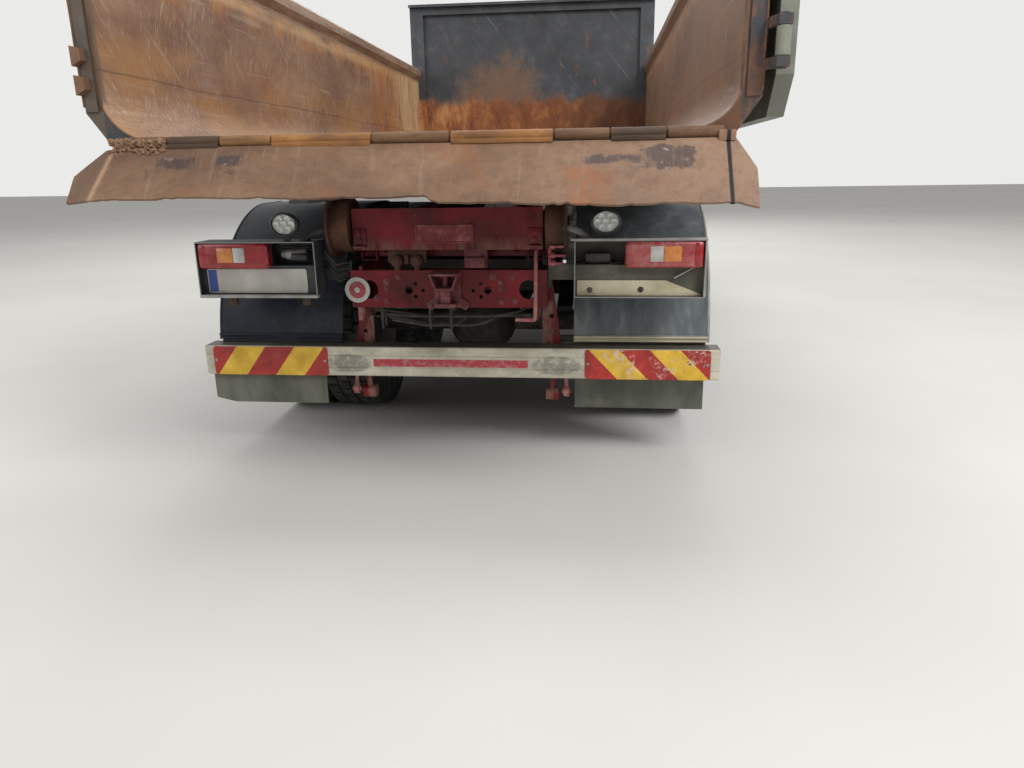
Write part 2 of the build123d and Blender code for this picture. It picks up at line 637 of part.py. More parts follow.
def front_bumper():
    y0, y1 = BUMPER_Y - 230, BUMPER_Y
    outline = [(-1210, y0 - 60), (-1210, y1 - 130), (-1000, y1), (1000, y1), (1210, y1 - 130), (1210, y0 - 60)]
    body = prism_z(outline, 420, 930)
    back = y0 - 61
    inner = [(-1160, back), (-1160, y1 - 160), (-985, y1 - 50), (985, y1 - 50), (1160, y1 - 160), (1160, back)]
    body -= prism_z(inner, 419, 890)
    for side in (-1, 1):
        body -= block(sorted((side * HEADLAMP_X[0], side * HEADLAMP_X[1])), (y1 - 200, y1 + 1), HEADLAMP_Z)
    body -= block((-420, 420), (y1 - 60, y1 + 1), (520, 640))
    body -= block((-RAIL_X - 12, RAIL_X + 12), (y0 - 61, BUMPER_Y - 150 + CLEAR), (889, 931))
    mount = pair(block((RAIL_X - 60, RAIL_X), (BUMPER_Y - 150 + CLEAR, BUMPER_Y - 49), (720, 890)))
    return join([body] + mount)


def tow_jaw():
    # front cross member of the frame with the two ears that take a tow pin from above
    y0 = BUMPER_Y - 230
    web = RAIL_X - RAIL_T - CLEAR
    member = block((-web, web), (y0, y0 + 75), (720, 880))
    neck = block((-55, 55), (y0, y0 + 75), (TOW_Z - 12, 721))
    parts = [member, neck]
    for z in (TOW_Z - 12, TOW_Z + 60):
        ear = block((-55, 55), (y0 + 74, TOW_Y), (z, z + TOW_EAR)) + rod_z(0, TOW_Y, 55, z, z + TOW_EAR)
        parts.append(ear - rod_z(0, TOW_Y, TOW_PIN_R, z - 1, z + TOW_EAR + 1))
    return join(parts)


def headlamps():
    parts = []
    for side in (-1, 1):
        x0, x1 = side * (HEADLAMP_X[0] + 5), side * (HEADLAMP_X[1] - 5)
        outline = [(x0, BUMPER_Y - 120), (x0, BUMPER_Y - 8), (side * 1000, BUMPER_Y - 8), (x1, BUMPER_Y - 78),
                   (x1, BUMPER_Y - 150)]
        parts.append(prism_z(outline, HEADLAMP_Z[0] + CLEAR, HEADLAMP_Z[1] - CLEAR))
    return parts


def cab_steps():
    parts = []
    y0, y1 = BEAM_Y + 6760, BUMPER_Y - 295
    shell = block((860, 1190), (y0, y1), (400, 1000))
    shell -= block((985, 1191), (y0 + 20, y1 - 20), (440, 1001))
    shelf = [block((980, 1185), (y0 + 21, y1 - 21), (z, z + 35)) for z in (680, 960)]
    arm = block((RAIL_X, 861), (y0 + 100, y0 + 180), (760, 840))
    return pair(join([shell, arm] + shelf))


# Cab

def cab_side(inset=0):
    i = inset
    return [(CAB_BACK_Y + i, CAB_BOTTOM_Z + i), (CAB_BACK_Y + i, CAB_ROOF_Z - 90 - i * 0.8),
            (CAB_BACK_Y + 160 + i * 0.3, CAB_ROOF_Z - i), (CAB_FRONT_Y - 480 - i * 0.3, CAB_ROOF_Z - i),
            (CAB_FRONT_Y - 250 - i, CAB_ROOF_Z - 100 - i * 0.8), (CAB_FRONT_Y - 40 - i, SCREEN_LOW_Z),
            (CAB_FRONT_Y - i, SCREEN_LOW_Z - 300), (CAB_FRONT_Y - i, CAB_BOTTOM_Z + i)]


def cab_shell():
    outer = prism_x(cab_side(), -CAB_HALF, CAB_HALF)
    ends = outer.faces().sort_by(Axis.X)
    edges = [edge for face in (ends[0], ends[-1]) for edge in face.edges()]
    outer = fillet([edge for edge in edges if edge.center().Z > CAB_BOTTOM_Z + 10], CAB_EDGE_R)
    inner_points = cab_side(CAB_WALL)
    inner_points[0] = (CAB_BACK_Y + CAB_WALL, CAB_FLOOR_Z + 40)
    inner_points[-1] = (CAB_FRONT_Y - CAB_WALL, CAB_FLOOR_Z + 40)
    inner = prism_x(inner_points, -CAB_HALF + CAB_WALL, CAB_HALF - CAB_WALL)
    under = block((-CAB_HALF + CAB_WALL, CAB_HALF - CAB_WALL), (CAB_BACK_Y - 1, CAB_FRONT_Y - CAB_WALL),
                  (CAB_BOTTOM_Z - 1, CAB_FLOOR_Z))
    tunnel_out = block((-470, 470), (CAB_BACK_Y + 5, CAB_FRONT_Y - 300), (CAB_FLOOR_Z - 5, 1500))
    tunnel_in = block((-430, 430), (CAB_BACK_Y - 1, CAB_FRONT_Y - 340), (CAB_BOTTOM_Z - 2, 1460))
    shell = (outer - inner - under + tunnel_out) - tunnel_in
    arch = rod_x(FRONT_AXLE_Y, TYRE_R, ARCH_R, -CAB_HALF - 1, CAB_HALF + 1)
    arch &= block((-2000, 2000), (CAB_BACK_Y - 10, CAB_FRONT_Y), (0, CAB_FLOOR_Z))
    shell -= arch
    y0, y1 = SIDE_DOOR_Y
    z0, z1 = SIDE_DOOR_Z
    shell -= block((-CAB_HALF - 1, CAB_HALF + 1), (y0, y1), (z0, z1))
    # windscreen, rear window and the small front corner
    screen = prism_x([(CAB_FRONT_Y - 400, SCREEN_LOW_Z + 40), (CAB_FRONT_Y + 60, SCREEN_LOW_Z + 40),
                      (CAB_FRONT_Y - 100, CAB_ROOF_Z - 150), (CAB_FRONT_Y - 500, CAB_ROOF_Z - 150)],
                     -CAB_HALF + SCREEN_SIDE, CAB_HALF - SCREEN_SIDE)
    shell -= screen
    back_wall, front_wall = (CAB_BACK_Y - 1, CAB_BACK_Y + CAB_WALL + 1), (CAB_FRONT_Y - CAB_WALL - 1, CAB_FRONT_Y + 1)
    shell -= block((-REAR_WINDOW_HALF, REAR_WINDOW_HALF), back_wall, REAR_WINDOW_Z)
    shell -= block((-GRILLE_HALF, GRILLE_HALF), front_wall, GRILLE_Z)
    # arms down to the tilting pins, and the fixed halves of the door hinges
    arm = block(CAB_ARM_X, (CAB_HINGE_Y - 32, CAB_FRONT_Y - CAB_WALL + 1), (CAB_HINGE_Z, CAB_FLOOR_Z + 1))
    arm += rod_x(CAB_HINGE_Y, CAB_HINGE_Z, 36, *CAB_ARM_X)
    arm -= rod_x(CAB_HINGE_Y, CAB_HINGE_Z, CAB_HINGE_R + PIN_CLEAR, CAB_ARM_X[0] - 1, CAB_ARM_X[1] + 1)
    parts = [shell] + pair(arm)
    for z in DOOR_HINGES:
        pin_y = SIDE_DOOR_Y[1] - SIDE_DOOR_GAP / 2
        pin = rod_z(DOOR_PIN_X, pin_y, DOOR_PIN_R, z - 45, z + 45)
        for low in (z - 50, z + 20):
            pin += rod_z(DOOR_PIN_X, pin_y, 14, low, low + 30)
            pin += block((CAB_HALF - 1, DOOR_PIN_X), (pin_y + 6, pin_y + 50), (low, low + 30))
        parts += pair(pin)
    return [join(parts)]


def door_shape(side):
    y0, y1 = SIDE_DOOR_Y[0] + SIDE_DOOR_GAP, SIDE_DOOR_Y[1] - SIDE_DOOR_GAP
    z0, z1 = SIDE_DOOR_Z[0] + SIDE_DOOR_GAP, SIDE_DOOR_Z[1] - SIDE_DOOR_GAP
    window_z = 1960
    panel = block((CAB_HALF - CAB_WALL, CAB_HALF), (y0, y1), (z0, z1))
    window = [(y0 + 90, window_z), (y1 - 70, window_z), (y1 - 110, z1 - 90), (y0 + 90, z1 - 90)]
    opening = prism_x(window, CAB_HALF - CAB_WALL - 1, CAB_HALF + 1, 30)
    glass = prism_x(window, CAB_HALF - 32, CAB_HALF - 27, 30)
    panel -= opening
    handle = block((CAB_HALF + 18, CAB_HALF + 34), (y0 + 60, y0 + 230), (1700, 1724))
    posts = [block((CAB_HALF - 1, CAB_HALF + 19), (y, y + 20), (1702, 1722)) for y in (y0 + 70, y0 + 200)]
    pin_y = SIDE_DOOR_Y[1] - SIDE_DOOR_GAP / 2
    hinges = []
    for z in DOOR_HINGES:
        knuckle = rod_z(DOOR_PIN_X, pin_y, 14, z - 19, z + 19)
        knuckle += block((CAB_HALF - 1, DOOR_PIN_X), (pin_y - 60, pin_y - 8), (z - 19, z + 19))
        hinges.append(knuckle - rod_z(DOOR_PIN_X, pin_y, DOOR_PIN_R + PIN_CLEAR, z - 20, z + 20))
    panel = join([panel, handle] + posts + hinges)
    return (panel, glass) if side > 0 else (flip(panel), flip(glass))


def cab_glass():
    band = cab_side(CAB_WALL * 0.45)
    half = CAB_HALF - SCREEN_SIDE - CLEAR
    high, low = band[4], band[5]
    front = prism_x([high, low, (low[0] - 8, low[1]), (high[0] - 8, high[1])], -half, half)
    front &= block((-half, half), (CAB_FRONT_Y - 600, CAB_FRONT_Y),
                   (SCREEN_LOW_Z + 40 + CLEAR, CAB_ROOF_Z - 150 - CLEAR))
    half = REAR_WINDOW_HALF - CLEAR
    z0, z1 = REAR_WINDOW_Z
    rear = block((-half, half), (CAB_BACK_Y + 22, CAB_BACK_Y + 28), (z0 + CLEAR, z1 - CLEAR))
    return [front, rear]


def grille():
    half = GRILLE_HALF - CLEAR
    z0, z1 = GRILLE_Z[0] + CLEAR, GRILLE_Z[1] - CLEAR
    y1 = CAB_FRONT_Y + 4
    frame = block((-half, half), (y1 - 40, y1), (z0, z1))
    frame -= block((-590, 590), (y1 - 41, y1 + 1), (z0 + 30, z1 - 30))
    parts = [frame]
    for k in range(5):
        z = z0 + 70 + k * 86
        slat = prism_x([(y1 - 36, z), (y1 - 6, z - 22), (y1 - 2, z + 8), (y1 - 30, z + 34)], -591, 591)
        parts.append(slat)
    parts += [block((x - 6, x + 6), (y1 - 38, y1 - 30), (z0 + 20, z1 - 20)) for x in (-300, 0, 300)]
    return [join(parts)]


def mirrors():
    y = CAB_FRONT_Y - 118
    housing = block((CAB_HALF + 70, CAB_HALF + 290), (y - 50, y + 60), (1980, 2560))
    housing = fillet(housing.edges(), 28)
    arms = [rod_x(y - 32, z, 14, CAB_HALF + CLEAR, CAB_HALF + 110) for z in (2060, 2390)]
    return pair(join([housing] + arms))


def cab_interior():
    front = CAB_FRONT_Y - CAB_WALL - CLEAR
    half = CAB_HALF - CAB_WALL - 8
    dash = prism_x([(CAB_FRONT_Y - 620, 1560), (CAB_FRONT_Y - 560, 1900), (CAB_FRONT_Y - 140, 1960),
                    (front, 1700), (front, 1510), (CAB_FRONT_Y - 560, 1510)], -half, half)
    dash -= block((-472, 472), (CAB_FRONT_Y - 900, CAB_FRONT_Y - 290), (1400, 1501))
    wheel_plane = Plane(origin=(-620, CAB_FRONT_Y - 720, 1900), z_dir=(0, -0.55, 0.83))
    column = wheel_plane * Pos(0, 0, -270) * extrude(Circle(28), 280)
    ring = wheel_plane * Torus(215, 17)
    spokes = wheel_plane * Box(420, 40, 16)
    wheel = join([column, ring, spokes])
    return [join([dash, wheel])]


def seats():
    # base, cushion, leaning back and headrest of two seats
    parts = []
    y = CAB_BACK_Y + 330
    for side in (-1, 1):
        x = side * SEAT_X
        base = block((x - 200, x + 200), (y + 90, y + 500), (CAB_FLOOR_Z + 40 + CLEAR, 1571))
        cushion = block((x - 240, x + 240), (y + 60, y + 545), (1570, 1712))
        cushion = fillet(cushion.edges().filter_by(Axis.X), 40)
        back = prism_x([(y - 6, 1660), (y + 122, 1660), (y + 60, 2168), (y - 68, 2168)], x - 240, x + 240, 25)
        rest = prism_x([(y - 78, 2205), (y + 10, 2205), (y - 12, 2388), (y - 100, 2388)], x - 130, x + 130, 20)
        stalks = [block((x + dx - 9, x + dx + 9), (y - 46, y - 30), (2150, 2220)) for dx in (-60, 60)]
        parts.append(join([base, cushion, back, rest] + stalks))
    return parts


# Hook arm and tipping frame

def tip_frame():
    z0, z1 = TIP_Z
    tube = block((TIP_X, TIP_X + TIP_W), (PIVOT_Y + 110, TIP_FRONT_Y), (z0, z1))
    y0, y1 = PIVOT_Y - 40, PIVOT_Y + 111
    tongue = prism_x([(y0, PIVOT_Z - 44), (y1, z0), (y1, z1), (y0, PIVOT_Z + 44)], TIP_X + 4, TIP_X + TIP_W)
    tongue -= rod_x(PIVOT_Y, PIVOT_Z, PIVOT_R + PIN_CLEAR, 0, 400)
    parts = pair(tube) + pair(tongue)
    for y in (PIVOT_Y + 160, TIP_FRONT_Y - 1300):
        parts.append(block((-TIP_X - 20, TIP_X + 20), (y, y + 120), (z0 - 8, z0 + 1)))
        parts.append(block((-TIP_X - 20, TIP_X + 20), (y, y + 120), (z1 - 1, z1 + 8)))
    boss = rod_x(*LIFT_EYE, 52, TIP_X + TIP_W - 1, LIFT_X - 62)
    parts += pair(boss)
    return join(parts)


def hook_arm():
    z0, z1 = ARM_Z
    lower = block((-ARM_X, ARM_X), (TIP_FRONT_Y - 1250, MAST_Y[1]), (z0, z1))
    mast = block((-ARM_X, ARM_X), MAST_Y, (z1 - 1, BAIL_Z - 120))
    knee_y = MAST_Y[0] + 1
    knee = prism_x([(knee_y - 151, z1 - 1), (knee_y, z1 - 1), (knee_y, z1 + 170)], -ARM_X, ARM_X)
    throat = rod_x(BAIL_Y, BAIL_Z, BAIL_R + CLEAR, -60, 60)
    claw = [(MAST_Y[0] + 20, BAIL_Z - 121), (MAST_Y[1] - 8, BAIL_Z - 121), (MAST_Y[1] + 55, BAIL_Z - 20),
            (MAST_Y[1] + 40, BAIL_Z + 85), (MAST_Y[1] - 60, BAIL_Z + 120), (MAST_Y[1] - 45, BAIL_Z + 42),
            (BAIL_Y + 38, BAIL_Z), (BAIL_Y, BAIL_Z - 38), (BAIL_Y - 45, BAIL_Z + 25), (MAST_Y[0] - 20, BAIL_Z + 10)]
    hook = prism_x(claw, -42, 42) - throat
    return join([lower, mast, knee, hook])


def lift_barrels():
    start = Vector(0, *LIFT_BASE)
    end = Vector(0, *LIFT_EYE)
    way = (end - start).normalized()
    parts = []
    for side in (-1, 1):
        at = Vector(side * LIFT_X, 0, 0)
        barrel = rod(tuple(start + at + way * 40), tuple(start + at + way * 1560), LIFT_R)
        gland = rod(tuple(start + at + way * 1559), tuple(start + at + way * 1600), LIFT_R + 8)
        eye = rod_x(*LIFT_BASE, 55, *sorted((side * (LIFT_X - 45), side * (LIFT_X + 45))))
        bore = rod(tuple(start + at + way * 300), tuple(start + at + way * 1700), LIFT_ROD_R + 2 * PIN_CLEAR)
        ends = sorted((side * (LIFT_X - 60), side * (LIFT_X + 60)))
        eye_bore = rod_x(*LIFT_BASE, LIFT_PIN_R + PIN_CLEAR, *ends)
        parts.append(join([barrel, gland, eye]) - bore - eye_bore)
    return parts


def lift_rods():
    start = Vector(0, *LIFT_BASE)
    end = Vector(0, *LIFT_EYE)
    way = (end - start).normalized()
    parts = []
    for side in (-1, 1):
        at = Vector(side * LIFT_X, 0, 0)
        bar = rod(tuple(start + at + way * 420), tuple(end + at - way * 30), LIFT_ROD_R)
        eye = rod_x(*LIFT_EYE, 52, *sorted((side * (LIFT_X - 61), side * (LIFT_X + 42))))
        parts.append(join([bar, eye]))
    return parts


# Gravel body

def bed_section(half, floor, top, radius):
    # an outline in X and Z with two round lower corners, higher than it is cut off at later
    high = top + radius
    face = Polygon((-half, floor), (half, floor), (half, high), (-half, high), align=None)
    low = face.vertices().sort_by(Axis.Y)[:2]
    return fillet(low, radius)


def bed_trough(half, floor, top, radius, y0, y1):
    solid = extrude(Plane.XZ.offset(-y1) * bed_section(half, floor, top, radius), y1 - y0, dir=(0, -1, 0))
    return solid & block((-half - 1, half + 1), (y0 - 1, y1 + 1), (floor - 1, top))


def bed_shell():
    inner = BED_HALF - BED_WALL
    y0, y1 = BED_REAR_Y, BED_FRONT_Y - BED_WALL
    skin = inner + BED_SHEET
    tub = bed_trough(skin, BED_FLOOR_Z - BED_SHEET, BED_TOP_Z, BED_CORNER_R + BED_SHEET, y0, y1)
    tub -= bed_trough(inner, BED_FLOOR_Z, BED_TOP_Z + 1, BED_CORNER_R, y0 - 1, y1 + 1)
    lip, top, low = inner - TOP_RAIL_LIP, BED_TOP_Z, BED_TOP_Z - TOP_RAIL_H
    rail = prism_y([(lip, top - 20), (lip + 22, top), (BED_HALF, top), (BED_HALF, low), (skin - 1, low - 40),
                    (inner, low + 10), (lip, low + 50)], y0 + 20, y1)
    parts = [tub] + pair(rail)
    # outer ribs
    for k in range(5):
        y = y0 + 700 + k * (y1 - y0 - 1000) / 4
        rib = prism_z([(skin - 1, y - 70), (BED_HALF, y - 45), (BED_HALF, y + 45), (skin - 1, y + 70)],
                      BED_FLOOR_Z + 130, BED_TOP_Z - TOP_RAIL_H)
        parts += pair(rib)
    # rear ring with chamfered lower corners
    half, corner = BED_HALF, BED_HALF - 92
    ring = Polygon((-half, BED_FLOOR_Z + 100), (-corner, BED_FLOOR_Z - 30), (corner, BED_FLOOR_Z - 30),
                   (half, BED_FLOOR_Z + 100), (half, top - 1), (-half, top - 1), align=None)
    ring = extrude(Plane.XZ.offset(-(y0 + POST_DEPTH)) * ring, POST_DEPTH, dir=(0, -1, 0))
    ring -= bed_trough(inner, BED_FLOOR_Z, BED_TOP_Z + 1, BED_CORNER_R, y0 - 1, y0 + POST_DEPTH + 1)
    parts.append(ring)
    for side in (-1, 1):
        plate_x = sorted((side * (BED_HALF - 6), side * (inner + 6)))
        parts.append(block(plate_x, (y0 - 8, y0 + 1), (BED_FLOOR_Z + 104, top - 1)))
    return join(parts + door_hinges())


def front_wall():
    # one sheet in a deep frame, with a hood along the top and four ribs on its front
    y0, y1 = BED_FRONT_Y - BED_WALL, BED_FRONT_Y
    low = BED_FLOOR_Z - BED_SHEET
    outline = [(-BED_HALF, low + 130), (-BED_HALF + 92, low), (BED_HALF - 92, low), (BED_HALF, low + 130),
               (BED_HALF, FRONT_WALL_TOP_Z), (-BED_HALF, FRONT_WALL_TOP_Z)]
    wall = prism_y(outline, y0, y1)
    half = BED_HALF - 135
    wall -= block((-half, half), (y0 - 1, y1 - 12), (BED_FLOOR_Z, FRONT_WALL_TOP_Z - 90))
    hood = block((-BED_HALF, BED_HALF), (y0 - 60, y0 + 1), (FRONT_WALL_TOP_Z - 24, FRONT_WALL_TOP_Z))
    parts = [wall, hood]
    for x in (-820, -280, 280, 820):
        parts.append(block((x - 35, x + 35), (y1 - 1, y1 + 30), (low + 40, FRONT_WALL_TOP_Z - 30)))
    return join(parts)


def bed_underframe():
    # two long skids, cross bearers and the front hook bail
    z0, z1 = SKID_BOTTOM_Z, BED_FLOOR_Z - BED_SHEET
    y0, y1 = BED_REAR_Y + 130, BED_FRONT_Y - 5
    x0, x1 = SKID_X - SKID_W, SKID_X
    web0, web1 = x0 + 34, x0 + 46
    skid = prism_y([(x0, z0), (x1, z0), (x1, z0 + 14), (web1, z0 + 14), (web1, z1 - 12), (x1, z1 - 12), (x1, z1),
                    (x0, z1), (x0, z1 - 12), (web0, z1 - 12), (web0, z0 + 14), (x0, z0 + 14)], y0, y1)
    parts = pair(skid)
    count = 11
    for k in range(count):
        y = y0 + 10 + k * (y1 - y0 - 100) / (count - 1)
        # a tapered bearer each side and one across the middle
        near, far = x1 - 35, BED_HALF - 150
        parts += pair(prism_y([(near, z1), (far, z1), (far, z1 - 45), (near, z1 - BEARER_H)], y, y + 60))
        parts.append(block((-x0 - 35, x0 + 35), (y, y + 60), (z1 - 70, z1)))
    return join(parts)


def hook_bail():
    bar = rod_x(BAIL_Y, BAIL_Z, BAIL_R, -150, 150)
    y1 = BED_FRONT_Y
    end_y = BAIL_Y + 45
    ear = prism_x([(y1, BAIL_Z - 190), (end_y, BAIL_Z - 45), (end_y, BAIL_Z + 45), (y1, BAIL_Z + 80)], 120, 145)
    return join([bar] + pair(ear))


def barrel_spans(first):
    # the ends of every second barrel, with half the gap taken off each end
    ends = zip(BARREL_EDGES[first::2], BARREL_EDGES[first + 1::2])
    return [(x0 + BARREL_GAP / 2, x1 - BARREL_GAP / 2) for x0, x1 in ends]


def hinge_row():
    # barrels on the floor's edge, and the rod through all of them
    parts = [rod_x(FLAP_HINGE_Y, FLAP_HINGE_Z, FLAP_ROD_R, BARREL_EDGES[0], BARREL_EDGES[-1])]
    for span in barrel_spans(0):
        parts.append(rod_x(FLAP_HINGE_Y, FLAP_HINGE_Z, FLAP_BARREL_R, *span))
        parts.append(block(span, (FLAP_HINGE_Y + 5, BED_REAR_Y), (FLAP_HINGE_Z - 12, BED_FLOOR_Z - 2)))
    return join(parts)


def spill_flap():
    bore = rod_x(FLAP_HINGE_Y, FLAP_HINGE_Z, FLAP_ROD_R + PIN_CLEAR, -BED_HALF, BED_HALF)
    barrels = [rod_x(FLAP_HINGE_Y, FLAP_HINGE_Z, FLAP_BARREL_R, *span) - bore for span in barrel_spans(1)]
    # plate section in Y and Z: from under the barrels down and back
    top_y, top_z = FLAP_HINGE_Y - 24, FLAP_HINGE_Z - 22
    low_y, low_z = top_y - FLAP_REACH, top_z - FLAP_DROP
    slope = math.hypot(FLAP_REACH, FLAP_DROP)
    ny, nz = FLAP_DROP / slope * FLAP_T, -FLAP_REACH / slope * FLAP_T
    section = [(top_y, top_z), (low_y, low_z), (low_y + ny, low_z + nz), (top_y + ny, top_z + nz)]
    plate = prism_x(section, -FLAP_HALF - 80, FLAP_HALF + 80)
    half = FLAP_HALF
    outline = Polygon((-half + 30, top_z + 40), (half - 30, top_z + 40), (half + 60, top_z - 90),
                      (half + 66, low_z - 40), (-half - 66, low_z - 40), (-half - 60, top_z - 90), align=None)
    plate &= extrude(Plane.XZ.offset(-FLAP_HINGE_Y) * outline, 600, dir=(0, -1, 0))
    tab = [(top_y + ny, top_z + nz), (top_y, top_z), (FLAP_HINGE_Y - FLAP_BARREL_R + 2, FLAP_HINGE_Z),
           (FLAP_HINGE_Y - 12, FLAP_HINGE_Z - 18)]
    tabs = [prism_x(tab, *span) for span in barrel_spans(1)]
    return join([plate] + barrels + tabs)


def tail_door():
    # stored swung right round against the body's right side
    x0, x1 = DOOR_HINGE_X, DOOR_HINGE_X + DOOR_T
    y0, y1 = DOOR_HINGE_Y + 75, DOOR_HINGE_Y + DOOR_HINGE_X + BED_HALF - 75
    z0, z1 = DOOR_BOTTOM_Z, BED_TOP_Z
    outline = [(y0, z0 + 130), (y0 + 110, z0), (y1 - 110, z0), (y1, z0 + 130), (y1, z1), (y0, z1)]
    sheet = prism_x(outline, x0 + 4, x0 + 12)
    inset = [(y0 + 70, z0 + 150), (y0 + 150, z0 + 65), (y1 - 150, z0 + 65), (y1 - 70, z0 + 150), (y1 - 70, z1 - 70),
             (y0 + 70, z1 - 70)]
    frame = prism_x(outline, x0, x1) - prism_x(inset, x0 - 1, x1 + 1)
    ribs = [block((x0, x1 - 10), (y, y + 60), (z0 + 10, z1 - 20)) for y in (y0 + 760, y0 + 1480)]
    parts = [sheet, frame] + ribs
    for z in DOOR_HINGE_ZS:
        barrel = rod_z(x0, DOOR_HINGE_Y, 24, z, z + 90)
        strap = block((x0 + 8, x0 + 22), (DOOR_HINGE_Y, y0 + 260), (z + 10, z + 80))
        parts.append(barrel + strap - rod_z(x0, DOOR_HINGE_Y, DOOR_HINGE_PIN_R + PIN_CLEAR, z - 1, z + 91))
    return join(parts)


def door_hinges():
    # lugs on the right rear post with the pins, above and below each strap, and two latch wedges
    parts = []
    x, y = DOOR_HINGE_X, DOOR_HINGE_Y
    for z in DOOR_HINGE_ZS:
        parts.append(rod_z(x, y, DOOR_HINGE_PIN_R, z - 40, z + 130))
        for low in (z - 35, z + 92):
            outline = [(BED_HALF - 6, BED_REAR_Y + 60), (BED_HALF - 6, BED_REAR_Y - 2), (x - 22, y - 22),
                       (x + 22, y - 22), (x + 22, y + 15), (BED_HALF + 10, BED_REAR_Y - 5),
                       (BED_HALF + 10, BED_REAR_Y + 60)]
            parts.append(prism_z(outline, low, low + 33))
    for z in (1700, 1800):
        wedge = [(-BED_HALF + 2, z), (-BED_HALF + 2, z + 70), (-BED_HALF + 40, z + 60), (-BED_HALF + 40, z + 20)]
        parts.append(prism_y(wedge, BED_REAR_Y - 45, BED_REAR_Y - 7))
    return parts


write("chassis_rails", [chassis_rails()])
write("hook_subframe", [hook_subframe()])
write("guide_rollers", [guide_rollers()])
write("coupling_beam", [coupling_beam()])
write("tow_coupling", [tow_coupling()])
write("underrun_beam", [underrun_beam()])
write("rear_plates", rear_plates())
write("lamp_brackets", lamp_brackets())
write("tail_lamps", tail_lamps())
write("work_lamps", work_lamps())
write("mudguards", mudguards())
flaps, hangers = mudflaps()
write("mudflaps", flaps)
write("flap_hangers", hangers)
write("tanks", side_tanks())
write("side_guards", side_guards())
write("engine", engine_block())
write("prop_shafts", prop_shafts())
write("front_bumper", [front_bumper()])
write("tow_jaw", [tow_jaw()])
write("headlamps", headlamps())
write("cab_steps", cab_steps())
axle_beam, tie = front_axle()
write("front_axle", [axle_beam])
write("tie_rod", [tie])
write("rear_axles", [rear_axle(MID_AXLE_Y), rear_axle(REAR_AXLE_Y)])
write("rear_springs", rear_springs())
write("cab_shell", cab_shell())
write("cab_glass", cab_glass())
write("grille", grille())
write("mirrors", mirrors())
write("cab_interior", cab_interior())
write("seats", seats())
write("tip_frame", [tip_frame()])
write("hook_arm", [hook_arm()])
write("lift_barrels", lift_barrels())
write("lift_rods", lift_rods())
write("bed_shell", [bed_shell()])
write("front_wall", [front_wall()])
write("bed_underframe", [bed_underframe()])
write("hook_bail", [hook_bail()])
write("hinge_row", [hinge_row()])
write("spill_flap", [spill_flap()])
write("tail_door", [tail_door()])
for name, side in (("left", -1), ("right", 1)):
    panel, glass = door_shape(side)
    write("door_" + name, [panel])
    write("door_glass_" + name, [glass])
    write("knuckle_" + name, [knuckle(side)])
    write("tyre_front_" + name, [tyre(side * FRONT_WHEEL_X, FRONT_AXLE_Y)])
    write("rim_front_" + name, [front_wheel(side)])
    for place, y in (("mid", MID_AXLE_Y), ("rear", REAR_AXLE_Y)):
        twins = [tyre(side * (TWIN_X + sign * TWIN_GAP_X / 2), y) for sign in (-1, 1)]
        write("tyre_" + place + "_" + name, twins)
        write("rim_" + place + "_" + name, [rear_wheel(side, y)])
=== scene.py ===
"""Hook lift truck with a worn open tub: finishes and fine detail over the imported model.

Metres, +Y forward, +X to the right of travel, +Z up. The underrun beam's rear face lies at BEAM."""
import math
import random
from functools import partial

import bmesh
import bpy
from mathutils import Matrix, Vector


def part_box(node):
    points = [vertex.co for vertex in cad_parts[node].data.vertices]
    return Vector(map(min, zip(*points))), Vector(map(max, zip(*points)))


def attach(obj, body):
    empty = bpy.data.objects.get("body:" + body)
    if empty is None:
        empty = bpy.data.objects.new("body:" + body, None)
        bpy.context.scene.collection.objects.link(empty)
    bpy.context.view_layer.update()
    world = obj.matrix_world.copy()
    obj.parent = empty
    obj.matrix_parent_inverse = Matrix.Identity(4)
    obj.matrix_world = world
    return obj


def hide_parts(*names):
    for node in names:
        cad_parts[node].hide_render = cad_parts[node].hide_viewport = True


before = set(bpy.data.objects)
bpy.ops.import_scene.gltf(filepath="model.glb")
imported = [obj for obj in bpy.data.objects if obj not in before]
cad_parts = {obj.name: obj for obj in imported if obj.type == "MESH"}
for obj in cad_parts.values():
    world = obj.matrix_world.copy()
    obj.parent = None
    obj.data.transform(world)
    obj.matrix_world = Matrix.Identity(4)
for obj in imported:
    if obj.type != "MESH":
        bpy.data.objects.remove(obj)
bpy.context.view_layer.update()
rng = random.Random(41)

# Driving places: the beam's rear face, the tub's rear end, the axles, and the rear faces of what hangs at
# the back
BEAM = -3.288
BED_REAR = BEAM - 0.7
FRONT_AXLE, MID_AXLE, REAR_AXLE = BEAM + 6.1, BEAM + 2.39, BEAM + 1.02
CAB_FRONT, CAB_BACK = BEAM + 7.4, BEAM + 5.35
BOX_REAR = BEAM - 0.195
LAMP_REAR = BEAM - 0.203
LOWER_BEAM_REAR = BEAM - 0.084
UPPER_BEAM_REAR = BEAM - 0.072
SIDES = ((-1, "left"), (1, "right"))


# Small helpers

def linear(code):
    """An sRGB hex colour as linear RGBA."""
    parts = [int(code[i:i + 2], 16) / 255 for i in (0, 2, 4)]
    return [c / 12.92 if c <= 0.04045 else ((c + 0.055) / 1.055) ** 2.4 for c in parts] + [1.0]


